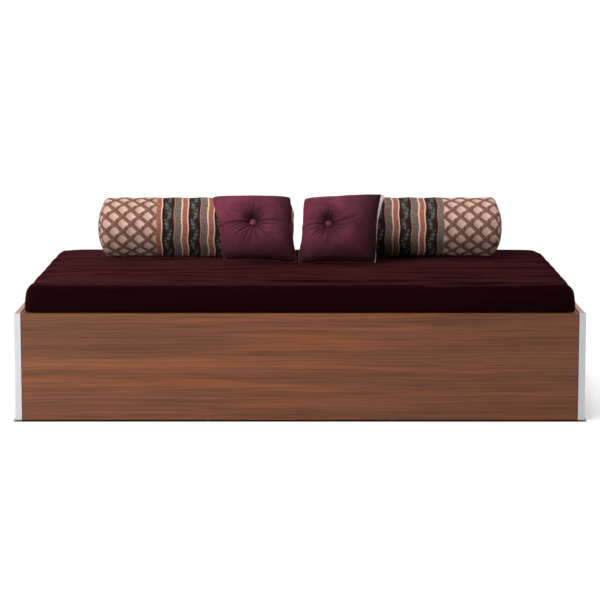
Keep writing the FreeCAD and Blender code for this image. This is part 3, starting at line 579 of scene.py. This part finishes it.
def slab_sheet(half_x, half_y, half_z, edges):
    """One sheet of a slab cover, from its border at half height up over the edge to the middle.

    A square grid is laid on the unfolded sheet. Past the corner's square, how far a point is out is the
    larger of its two overshoots, and their ratio is the angle round the corner. That distance then follows
    the section: flat, a quarter round, and straight down.
    """
    lip = PLAN_CORNER + half_z * 0.8
    fine = np.linspace(0, 1, 17) * lip

    def line(half):
        inner = half - PLAN_CORNER
        flat = np.linspace(-inner, inner, int(2 * inner / GRID_STEP) + 1)
        return np.concatenate([-inner - fine[:0:-1], flat, inner + fine[1:]])

    x, y = np.meshgrid(line(half_x), line(half_y), indexing="ij")
    over_x = np.maximum(np.abs(x) - (half_x - PLAN_CORNER), 0)
    over_y = np.maximum(np.abs(y) - (half_y - PLAN_CORNER), 0)
    out, less = np.maximum(over_x, over_y), np.minimum(over_x, over_y)
    turn = np.pi / 4 * less / np.maximum(out, 1e-9)
    turn = np.where(over_y > over_x, np.pi / 2 - turn, turn)
    edge = edges[1] + (edges[0] - edges[1]) * np.cos(turn) ** 2
    flat, arc = PLAN_CORNER - edge, edge * np.pi / 2
    travel = out / lip * (flat + arc + half_z - edge)
    bend = np.clip((travel - flat) / edge, 0, np.pi / 2)
    reach = np.minimum(travel, flat) + edge * np.sin(bend)
    drop = edge * (1 - np.cos(bend)) + np.maximum(travel - flat - arc, 0)
    base_x = np.sign(x) * np.minimum(np.abs(x), half_x - PLAN_CORNER)
    base_y = np.sign(y) * np.minimum(np.abs(y), half_y - PLAN_CORNER)
    return (base_x + np.sign(x) * reach * np.cos(turn), base_y + np.sign(y) * reach * np.sin(turn),
            half_z - drop)


def two_sheets(rows, columns):
    """Vertex numbers of two grids that share their border."""
    first = np.arange(rows * columns).reshape(rows, columns)
    second = first.copy()
    second[1:-1, 1:-1] = first.size + np.arange((rows - 2) * (columns - 2)).reshape(rows - 2, columns - 2)
    return first, second


def mattress(cloth):
    """Foam slab in a close cover that is drawn towards the ends, so its top has long soft creases."""
    low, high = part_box("mattress_cover")
    half = (high - low) / 2
    centre = (high + low) / 2
    sizes = (half.x - SHY[0], half.y - SHY[1], half.z)
    x, y, z = slab_sheet(*sizes, TOP_EDGES)
    under_x, under_y, under_z = slab_sheet(*sizes, BOTTOM_EDGES)
    top, bottom = two_sheets(*x.shape)
    border = np.ones(x.shape, bool)
    border[1:-1, 1:-1] = False
    side = np.sign(x)
    ends = np.exp(-((half.x - np.abs(x)) / 0.07) ** 2)
    scallop = np.sin(y * (2 * np.pi / SCALLOP) + side * 0.7 + 1.1 * np.sin(y * 9)) * ends
    creases = waves(x, y, seed=4, count=70, long=0.50, short=0.011)
    creases += 0.8 * waves(x, y, seed=5, count=26, long=0.22, short=0.008, lean=0.3)
    front_roll = ROLL * np.exp(-((y + half.y - 0.045) / 0.014) ** 2)
    front_roll *= np.sin(x * 5 + 1.4 * np.sin(x * 3))
    lift = np.clip(z / half.z, 0, 1) ** 3
    crown = TOP_CROWN * (1 - (x / half.x) ** 2) * (1 - (y / half.y) ** 4)
    upper_z = z + lift * (CREASE * creases + crown + SCALLOP_UP * scallop + front_roll)
    lean = LEAN_IN * ((z + half.z) / (2 * half.z)) ** 2
    drawn = lean + SCALLOP_IN * lift * (0.5 - 0.5 * scallop)
    upper_x = x - side * np.minimum(np.abs(x) / half.x, 1) ** 8 * drawn
    upper = np.stack([upper_x, y, upper_z], -1)
    lean = LEAN_IN * ((half.z - under_z) / (2 * half.z)) ** 2
    lower_x = under_x - np.sign(under_x) * lean * (np.abs(under_x) / half.x) ** 8
    lower = np.stack([lower_x, under_y, -under_z], -1)
    upper[border] = (upper[border] + lower[border]) / 2
    points = np.concatenate([upper.reshape(-1, 3), lower[1:-1, 1:-1].reshape(-1, 3)]) + np.array(centre)
    faces = np.concatenate([grid_faces(top), grid_faces(bottom, True)])
    cover = build("mattress_cloth", points, faces, cloth)
    pins = np.ones(len(points), bool)
    pins[:top.size] = z.ravel() < PINNED_TO
    swell(cover, pressure=0.5, cap=0.002, pinned=pins, bending=2.0, frames=6)
    shaped = coords(cover)
    shaped[:, 2] = np.maximum(shaped[:, 2], low.z)
    set_coords(cover, shaped)
    return finish_piece(cover, "mattress", "maroon_cloth", "mattress_cover", "mattress_core")


def finish_piece(piece, body, slot, *nodes):
    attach(piece, body)
    if nodes:
        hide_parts(*nodes)
    return piece


# ---------------------------------------------------------------- bolsters
END_ROUND = 0.022
END_DOME = 0.020
GATHERS = 34
GATHER_FROM = 0.10             # from the ends
GATHER_OUT, GATHER_IN = 0.0016, 0.0013    # swing of the gathers along the roll, and on its ends
LUMP, STRIPE_PUFF = 0.0009, 0.0011        # unevenness of the roll, and puff of each stripe
BOLSTER_SEEDS = {"left": 31, "right": 57}
TURNS = 144                    # points round a bolster
IN_LENGTH, IN_ROUND = 0.005, 0.0045    # how much smaller the cover starts, before it swells
FLAT = 0.006                   # height of the part that rests on the mattress
# where the stripes repeat from, and the lattice's inner line with a point past its outer end
STARTS = {"left": -0.5205, "right": 0.4338}
LATTICES = {"left": (-0.5205, -1), "right": (0.5215, 1)}


def bolster(side, cloth):
    """A tube of cloth round a firm roll, gathered over its ends to a covered button.

    Height along the roll and angle round it are the two parameters. The section runs from the middle of one
    end out over a quarter round and along the roll, and gathers ripple the ends between the button and rim.
    """
    low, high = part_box(f"bolster_{side}_cover")
    centre, half = (low + high) / 2, (high.x - low.x) / 2 - IN_LENGTH
    radius = (high.z - low.z) / 2
    dish = np.linspace(0.10, 1, 15) * (radius - END_ROUND)
    arc = np.linspace(0, np.pi / 2, 10)[1:]
    run = np.linspace(0, half - END_ROUND - END_DOME, 66)[1:]
    out = np.concatenate([[0.0], dish, radius - END_ROUND + END_ROUND * np.sin(arc),
                          np.full(run.size, radius)])
    height = np.concatenate([[0.004], END_DOME * (dish / dish[-1]) ** 2.4,
                             END_DOME + END_ROUND * (1 - np.cos(arc)), END_DOME + END_ROUND + run])
    length = np.concatenate([[0], np.cumsum(np.hypot(np.diff(out), np.diff(height)))])
    total = length[-1]
    out = np.concatenate([out, out[-2::-1]])
    along = np.concatenate([height - half, half - height[-2::-1]])
    cloth_at = np.concatenate([length - total, total - length[-2::-1]])
    angle = np.linspace(0, 2 * np.pi, TURNS + 1)[:-1]
    s, a = np.meshgrid(np.arange(out.size), angle, indexing="ij")
    r, x = out[s], along[s]
    near_end = np.clip((np.abs(x) - (half - GATHER_FROM)) / GATHER_FROM, 0, 1) ** 1.5
    rim = np.exp(-((r - radius * 0.55) / (radius * 0.42)) ** 2) * (np.abs(x) > half - END_ROUND - END_DOME)
    phase = a * GATHERS + 0.8 * np.sin(3 * a)
    draw = np.random.default_rng(BOLSTER_SEEDS[side])
    soft = sum(draw.uniform(0.3, 1) * np.sin(k * a + draw.uniform(0, 6.28) + x * draw.uniform(-14, 14))
               for k in (2, 3, 5, 7, 9))
    swing = GATHER_OUT * near_end * np.sin(phase) + LUMP * soft * (r / radius)
    swing += STRIPE_PUFF * np.sin(x * 2 * np.pi / STRIPE + 0.6 * np.sin(2 * a)) * (r / radius)
    x = x + np.sign(-x) * GATHER_IN * rim * np.sin(phase)
    r = np.maximum(r + swing - IN_ROUND, 0)
    points = np.stack([x, r * np.sin(a), r * np.cos(a)], -1)
    rest = FLAT - radius
    points[..., 2] = np.where(points[..., 2] < rest, rest + (points[..., 2] - rest) * 0.25, points[..., 2])
    points += np.array(centre)
    wrap = np.concatenate([np.arange(out.size * TURNS).reshape(-1, TURNS)] * 2, 1)[:, :TURNS + 1]
    faces = grid_faces(wrap)
    piece = build(f"bolster_cloth_{side}", points.reshape(-1, 3), faces, cloth)
    lay_cloth(piece, faces, centre.x + cloth_at)
    close_poles(piece)
    swell(piece, pressure=1.2, cap=0.004, pinned=None, bending=1.5, frames=12)
    return finish_piece(piece, f"{side}_bolster", "bolster_cloth", f"bolster_{side}_cover",
                        f"bolster_{side}_core")


def lay_cloth(piece, faces, along):
    """UV of a wrapped grid: metres along, and metres round, without a jump at the joining line."""
    corner_turns = (faces % TURNS).astype(float)
    wraps = corner_turns.max(1, keepdims=True) - corner_turns > TURNS / 2
    corner_turns = corner_turns + TURNS * wraps
    uv = np.stack([along[faces // TURNS], corner_turns / TURNS * LATTICES_ROUND * LATTICE_ROUND], -1)
    layer = piece.data.uv_layers.new(name="cloth")
    layer.data.foreach_set("uv", uv.astype(np.float32).ravel())


def close_poles(piece):
    """Merges the rings of zero radius at the two ends."""
    work = bmesh.new()
    work.from_mesh(piece.data)
    bmesh.ops.remove_doubles(work, verts=work.verts, dist=1e-5)
    work.to_mesh(piece.data)
    work.free()


# ---------------------------------------------------------------- cushions
LEAN = math.radians(27)
OUT = np.array((0, -math.cos(LEAN), math.sin(LEAN)))
CUSHION_AXES = np.stack([(1.0, 0, 0), (0, math.sin(LEAN), math.cos(LEAN)), OUT])
SEAM_AT = (0.0555, 0.5725)     # depth and height of the seam plane's middle
CROWN = {"front": 0.062, "back": 0.034}
TUFT_WIDE = 0.040
SLACK, FULL_FOLD = 0.0018, 0.0050    # height of the slack cloth's waves, and the fold depth that sets the strength of the painted fold shade
BUTTON_AT = {"front": 0.0205, "back": 0.0150}    # cloth under a button, off the seam plane
BUTTON_R, BUTTON_T, BUTTON_SUNK = 0.0112, 0.0060, 0.0010
CLOTH_T, CORD_R, CORD_SIDES = 0.0012, 0.0011, 8
OFF_MATTRESS, OFF_BOLSTER = 0.0042, 0.0015
# name of each back's cloth, and how far it fades to off-white
BACKS = {"left": ("rose_cotton", 0.15), "right": ("blush_cotton", 0.85)}
# x and corners place the seam plane: corners are (across, up), low left, low right, high right, high left;
# tuft is the button's place; dark is the painted shade towards the right edge, an amount and a power;
# ear is how sharp the high right corner stays; seed is for the folds' draws
CUSHIONS = {
    "left": dict(x=-0.157, tuft=(-0.012, 0.027), dark=(0.95, 1.2), ear=0, seed=11,
                 corners=((-0.119, -0.110), (0.149, -0.124), (0.126, 0.138), (-0.163, 0.137))),
    "right": dict(x=0.141, tuft=(-0.039, 0.022), dark=(1.0, 0.7), ear=0.9, seed=23,
                  corners=((-0.152, -0.125), (0.130, -0.125), (0.151, 0.147), (-0.128, 0.130))),
}
HALF_WIDE = 0.13               # of a cushion, roughly
CELLS = 100                    # along each side of a sheet
# how far the back cloth bulges past the front's right edge, by height up the edge
PEEK = {"left": lambda b: 0.017 * np.exp(-((b - 0.45) / 0.28) ** 2),
        "right": lambda b: 0.009 + 0.013 * np.clip((b - 0.25) / 0.6, 0, 1) ** 0.8}


def plan_point(corners, ear, a, b):
    """Point of the outline's inside at (a, b) from -1 to 1.

    The corners are blended in straight lines and the sides are drawn in a little between them. The corners
    are rounded off by moving them in with the sixth power of both parameters, less so at the high right one
    by the share that the ear gives.
    """
    low_left, low_right, high_right, high_left = [np.array(corner) for corner in corners]
    p, q = (a + 1) / 2, (b + 1) / 2
    weights = [(1 - p) * (1 - q), p * (1 - q), p * q, (1 - p) * q]
    x, y = [sum(w * corner[axis] for w, corner in zip(weights, (low_left, low_right, high_right, high_left)))
            for axis in (0, 1)]
    middle_x = sum(corner[0] for corner in corners) / 4
    nip = 0.045 * np.abs(a * b) ** 6 * (1 - ear * (np.minimum(a, b) > 0))
    x -= (x - middle_x) * (0.020 * (1 - b ** 2) * np.abs(a) ** 3 + nip)
    return x, y * (1 + 0.011 * (1 - a ** 2) * np.abs(b) ** 3 * np.sign(b) - nip)


def crowded(centre):
    """Parameter values from -1 to 1, closest together round a centre and at both ends."""
    fine = np.linspace(-1, 1, 2001)
    density = 1 + 1.4 * np.exp(-((fine - centre) / 0.38) ** 2) + 1.6 * np.abs(fine) ** 8
    reached = np.concatenate([[0], np.cumsum((density[1:] + density[:-1]) / 2)])
    return np.interp(np.linspace(0, reached[-1], CELLS + 1), reached, fine)


LONG_RAYS = ((4, 0.120, 0.0052, 0.0046), (184, 0.140, 0.0050, 0.0052), (88, 0.105, 0.0034, 0.0036),
             (98, 0.100, 0.0030, 0.0034), (267, 0.100, 0.0030, 0.0044))
FAN_BELOW = (197, 207, 217, 227, 237, 248, 284, 294, 305, 316, 328, 342)
FAN_ABOVE = (20, 36, 54, 70, 112, 128, 145, 163)


def pleats(x, y, seed):
    """Depth of the folds that run out from a button: narrow valleys along chosen rays, fading with length.

    Ray: direction in degrees from the right, length, half width, depth. Long rays run square to the sides
    and short ones fan out, closest together below.
    """
    draw = np.random.default_rng(seed)
    rays = list(LONG_RAYS)
    rays += [(angle + draw.uniform(-3, 3), draw.uniform(0.060, 0.095), draw.uniform(0.0022, 0.0032),
              draw.uniform(0.0044, 0.0064)) for angle in FAN_BELOW]
    rays += [(angle + draw.uniform(-5, 5), draw.uniform(0.035, 0.06), draw.uniform(0.0026, 0.0040),
              draw.uniform(0.0020, 0.0036)) for angle in FAN_ABOVE]
    reach, turn = np.hypot(x, y), np.arctan2(y, x)
    total = np.zeros_like(x)
    for angle, length, width, depth in rays:
        off = turn - math.radians(angle) - draw.uniform(-1.8, 1.8) * (reach - 0.03)
        off = (off + np.pi) % (2 * np.pi) - np.pi
        across = off * reach / (width * (0.5 + reach / length))
        fade = np.clip(1 - reach / length, 0, 1) ** 0.8 * np.clip(reach / 0.012, 0, 1)
        total += depth * fade * (np.exp(-across ** 2) - 0.3 * np.exp(-(np.abs(across) - 1.8) ** 2))
    return total


def cushion(side, velvet, cotton, piping, capped):
    """A buttoned pillow: two sheets that share a seam, crowned between it and pulled in at the buttons.

    Each sheet is a square grid over the outline. Its height is the crown times the root of both parameters'
    parabolas, less a round bowl at the tuft and the folds that run out of the bowl.
    """
    facts = CUSHIONS[side]
    seed = facts["seed"]
    tuft_x, tuft_y = facts["tuft"]
    a, b = np.meshgrid(crowded(tuft_x / HALF_WIDE), crowded(tuft_y / HALF_WIDE), indexing="ij")
    x, y = plan_point(facts["corners"], facts["ear"], a, b)
    dome = ((1 - a ** 2) * (1 - b ** 2)) ** 0.5
    reach = np.hypot(x - tuft_x, y - tuft_y)
    bowl = 1 / (1 + (reach / TUFT_WIDE) ** 2.4)
    at_tuft = dome.ravel()[np.argmin(reach)]
    first, second = two_sheets(*a.shape)
    sheets, folds = [], []
    for face, way in (("front", 1), ("back", -1)):
        fold = pleats(x - tuft_x, y - tuft_y, seed + way) * (1 if way > 0 else 0.6)
        slack = SLACK * waves(y, x, seed + way, count=14, long=0.09, short=0.020, lean=0.6) * dome
        deep = CROWN[face] * at_tuft ** 1.1 - BUTTON_AT[face]
        height = CROWN[face] * dome ** 1.1 - deep * bowl * np.minimum(1, dome * 1.5) - fold + slack
        peek = 0 if way > 0 else PEEK[side](b) * np.exp(-((a - 0.95) / 0.06) ** 2) * (dome > 0)
        sheets.append(np.stack([x + peek, y, way * np.maximum(height, 0.0005) * (dome > 0)], -1))
        # painted shade round the button: a broad dark halo, darker above it, and a dark ring close round it
        above = np.clip((y - tuft_y) / np.maximum(reach, 1e-6), 0, 1)
        painted_halo_shade = (0.46 + 0.50 * above) * np.exp(-(reach / 0.064) ** 2)
        painted_halo_shade += 0.30 * np.exp(-((reach - 0.015) / 0.008) ** 2)
        # painted shade towards the low edge and towards the right edge, away from the light
        amount, power = facts["dark"]
        painted_rim_shade = np.maximum(0.95 * np.clip((0.25 - b) / 1.2, 0, 1) ** 1.1,
                          amount * np.clip((a + 0.05) / 1.05, 0, 1) ** power)
        # painted shade of each sheet: from the folds' depth, the halo and the edges
        folds.append(0.7 * np.clip(fold / FULL_FOLD, 0, 0.9) + painted_halo_shade + painted_rim_shade * (1 - np.minimum(painted_halo_shade, 1)))
    points = np.concatenate([sheets[0].reshape(-1, 3), sheets[1][1:-1, 1:-1].reshape(-1, 3)])
    fold = np.concatenate([folds[0].ravel(), folds[1][1:-1, 1:-1].ravel()])
    origin = np.array((facts["x"], *SEAM_AT))
    faces = [grid_faces(first), grid_faces(second, True)]
    whole = build(f"pillow_{side}", points @ CUSHION_AXES + origin, np.concatenate(faces))
    near = np.concatenate([reach.ravel(), reach[1:-1, 1:-1].ravel()]) < BUTTON_R * 1.1
    swell(whole, pressure=5.0, cap=0.006, pinned=near, bending=0.08, frames=16)
    settled = settle(coords(whole), side)
    bpy.data.objects.remove(whole)
    body = f"{side}_cushion"
    for face, used, cloth, slot, nodes in (
            ("front", faces[0], velvet, "cushion_velvet", (f"cushion_{side}_front", f"cushion_{side}_core")),
            ("back", faces[1], cotton, "cushion_back_cloth", (f"cushion_{side}_back",))):
        keep, numbers = np.unique(used, return_inverse=True)
        quads, plan = numbers.reshape(-1, 4), points[keep][:, :2]
        piece = build(f"{face}_cloth_{side}", settled[keep], quads, cloth, plan)
        # the painted shade goes on the piece as a point attribute that the velvet reads
        mark = piece.data.attributes.new("fold", "FLOAT", "POINT")
        mark.data.foreach_set("value", np.clip(fold[keep], 0, 1).astype(np.float32))
        solid = piece.modifiers.new("cloth", "SOLIDIFY")
        solid.thickness, solid.offset = CLOTH_T, -1
        smooth = piece.modifiers.new("smooth", "SUBSURF")
        smooth.levels = smooth.render_levels = 1
        finish_piece(piece, body, slot, *nodes)
    rim = np.concatenate([first[:-1, 0], first[-1, :-1], first[:0:-1, -1], first[0, :0:-1]])
    seam = seam_tube(f"seam_cord_{side}", settled[rim], piping)
    finish_piece(seam, body, "cushion_back_cloth")
    buttons(side, settled, first, second, reach, capped)


def settle(points, side):
    """Keeps a pillow off the mattress and the bolster: flattened against both, never into them."""
    floor_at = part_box("mattress_cover")[1].z + OFF_MATTRESS
    low = points[:, 2] < floor_at
    points[low, 2] = floor_at + (points[low, 2] - floor_at) * 0.02
    low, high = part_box(f"bolster_{side}_cover")
    middle = np.array(((low.y + high.y) / 2, (low.z + high.z) / 2))
    radius = (high.z - low.z) / 2 + OFF_BOLSTER
    away = points[:, 1:] - middle
    gap = np.linalg.norm(away, axis=1, keepdims=True)
    points[:, 1:] = np.where(gap < radius, middle + away / gap * radius, points[:, 1:])
    return points


def seam_tube(name, path, material):
    """A round cord carried along a closed path of points, square to it everywhere."""
    ahead = np.roll(path, -1, 0) - np.roll(path, 1, 0)
    ahead /= np.linalg.norm(ahead, axis=1, keepdims=True)
    out = np.cross(ahead, OUT)
    out /= np.linalg.norm(out, axis=1, keepdims=True)
    up = np.cross(out, ahead)
    angle = np.linspace(0, 2 * np.pi, CORD_SIDES + 1)[:-1][None, :, None]
    rings = path[:, None] + CORD_R * (np.cos(angle) * out[:, None] + np.sin(angle) * up[:, None])
    index = np.arange(len(path) * CORD_SIDES).reshape(-1, CORD_SIDES)
    index = np.concatenate([index, index[:, :1]], 1)
    index = np.concatenate([index, index[:1]], 0)
    return build(name, rings.reshape(-1, 3), grid_faces(index, True), material)


def buttons(side, settled, first, second, reach, cloth):
    """Cloth-covered buttons that sit in the tufts: a dome with faint gathers, lathed about its own axis."""
    ring = np.linspace(0, 1, 9)
    angle = np.linspace(0, 2 * np.pi, 29)[:-1]
    share, turn = np.meshgrid(np.concatenate([ring, [1.0, 0.6, 0.0]]), angle, indexing="ij")
    lift = np.concatenate([np.sqrt(1 - (ring * 0.96) ** 2), [0.12, 0.0, 0.0]])
    gathers = 0.0002 * np.sin(turn * 14) * share
    height = np.repeat(lift[:, None], angle.size, 1) * BUTTON_T + gathers
    disc = np.stack([share * BUTTON_R * np.cos(turn), share * BUTTON_R * np.sin(turn), height], -1)
    index = np.arange(disc[..., 0].size).reshape(disc.shape[:2])
    index = np.concatenate([index, index[:, :1]], 1)
    nearest = reach < BUTTON_R * 0.5
    made_points, made_faces = [], []
    for numbers, way in ((first, 1), (second, -1)):
        at = settled[numbers[nearest]].mean(0)
        shape = disc * (1, 1, way)
        made_points.append(shape.reshape(-1, 3) @ CUSHION_AXES + at - OUT * way * BUTTON_SUNK)
        made_faces.append(grid_faces(index, way < 0) + disc[..., 0].size * len(made_faces))
    piece = build(f"buttons_{side}", np.concatenate(made_points), np.concatenate(made_faces), cloth)
    close_poles(piece)
    return finish_piece(piece, f"{side}_cushion", "cushion_velvet", f"cushion_{side}_buttons")


# ---------------------------------------------------------------- the room
DIM, DIM_LEFT = 0.04, 0.25     # of the surroundings' light: everywhere, and more towards the left
HORIZON = 0.5                  # of the surroundings' light, low down all round
GROUND = 12.0                  # half the ground's side
CONTACT = (0.001, 0.012)       # from the box, between which the contact shade fades out
FADE = (4.5, 9.0)              # from the middle, between which the ground fades out


def lights():
    """Surroundings white behind and overhead, pale low down and dim elsewhere, with a sun and a fill."""
    world = bpy.data.worlds.new("surroundings")
    world.use_nodes = True
    shade = Kit(world.node_tree, "Generated")
    x, y, z = shade.split(shade.where)
    bright = shade.smooth(y, 0.84, 0.93).do("MAXIMUM", shade.smooth(z, 0.2, 0.9))
    dim = shade.smooth(-x, -0.4, 1.0) * DIM_LEFT + DIM
    dim = dim.do("MAXIMUM", shade.smooth(z, 0.15, 0.05) * HORIZON)
    level = bright * (1 - dim) + dim
    grey = shade.join(level, level, level)
    shade.tree.links.new(grey.socket, shade.tree.nodes["Background"].inputs["Color"])
    bpy.context.scene.world = world
    sun = bpy.data.lights.new("sun", "SUN")
    sun.energy, sun.angle = 2.1, math.radians(40)
    fill = bpy.data.lights.new("fill", "AREA")
    fill.size, fill.energy = 1.7, 126
    for name, data, at, aim in (("sun", sun, (-0.4, -1.0, 4.0), (0, 0, 0)),
                                ("fill", fill, (-3.4, -3.3, 1.1), (-0.2, -0.4, 0.2))):
        lamp = bpy.data.objects.new(name, data)
        lamp.location = at
        lamp.rotation_euler = (Vector(aim) - Vector(at)).to_track_quat("-Z", "Y").to_euler()
        bpy.context.scene.collection.objects.link(lamp)


def floor():
    """Pale ground with painted contact shade where the box all but touches it, that fades into the
    surroundings further out.
    """
    skin = Finish("pale_floor", Roughness=0.9, Specular_IOR_Level=0.1)
    cloud = skin.noise(skin.where, 0.6, 2)
    x, y, _ = skin.split(skin.where)
    away = (x ** 2 + y ** 2) ** 0.5
    gap = (abs(x) + BOX_CORNER.x).do("MAXIMUM", abs(y) + BOX_CORNER.y)
    shade = 1 - skin.smooth(gap, *CONTACT)
    pale = skin.mix(cloud, (0.82, 0.82, 0.82, 1), (0.86, 0.86, 0.86, 1))
    skin.feed(Base_Color=skin.mix(shade, pale, (0.02, 0.018, 0.016, 1)),
              Alpha=1 - skin.smooth(away, *FADE))
    span = np.linspace(-1, 1, 3) * GROUND
    x, y = np.meshgrid(span, span, indexing="ij")
    ground = build("pale_floor", np.stack([x, y, x * 0], -1).reshape(-1, 3),
                   grid_faces(np.arange(9).reshape(3, 3)), skin.material)


def dress_cad_nodes():
    """Gives every carried-over node the finish of its own stuff."""
    plate, paint, alu = plated_steel(), painted_steel(), brushed_aluminium()
    carcass = board_stock("carcass_board", rgb(196, 160, 122), rgb(160, 122, 88), 2)
    ply = board_stock("deck_board", rgb(128, 88, 64), rgb(92, 58, 40), 5)
    turned = board_stock("carcass_board_turned", rgb(196, 160, 122), rgb(160, 122, 88), 4, "Y")
    slots = {"aluminium": alu, "carcass": carcass, "deck_board": ply, "black_steel": paint, "zinc": plate,
             "glide": black_glide(), "zip": zip_tape(),
             "twine": cord_cloth("twine", rgb(200, 190, 170))}
    # top-face colours: painted shade and painted reflection of the dark mattress on the front and back
    # panels, painted highlight on the end panels
    shaded_top_edge, lit_top_edge = rgb(70, 42, 28), rgb(176, 132, 112)
    grain = {"front_panel": ("X", 0, shaded_top_edge), "back_panel": ("X", 3.1, shaded_top_edge),
             "left_end_panel": ("Y", 5.7, lit_top_edge), "right_end_panel": ("Y", 8.3, lit_top_edge)}
    by_node = {row["node"]: row["material_slot"] for row in frame["record"]["subparts"]}
    for node, piece in NODES.items():
        slot = by_node[node]
        if node in grain:
            skin = walnut(f"walnut_{node}", *grain[node])
        elif node == "centre_partition":
            skin = turned
        else:
            skin = slots.get(slot)
        if skin:
            piece.data.materials.clear()
            piece.data.materials.append(skin)


camera()
lights()
floor()
dress_cad_nodes()
mattress(maroon_cloth())
# the buttons take a lighter copy of the velvet: painted highlight where they stand out of the tufts
velvet, capped = plum_velvet(), plum_velvet("button_velvet_painted_light", 1.15)
piping = cord_cloth("seam_cord", rgb(96, 60, 62))
for side in SIDES:
    bolster(side, bolster_cloth(f"bolster_print_{side}", STARTS[side], *LATTICES[side]))
    cushion(side, velvet, back_cloth(*BACKS[side]), piping, capped)
bpy.context.scene.view_settings.view_transform = "Standard"
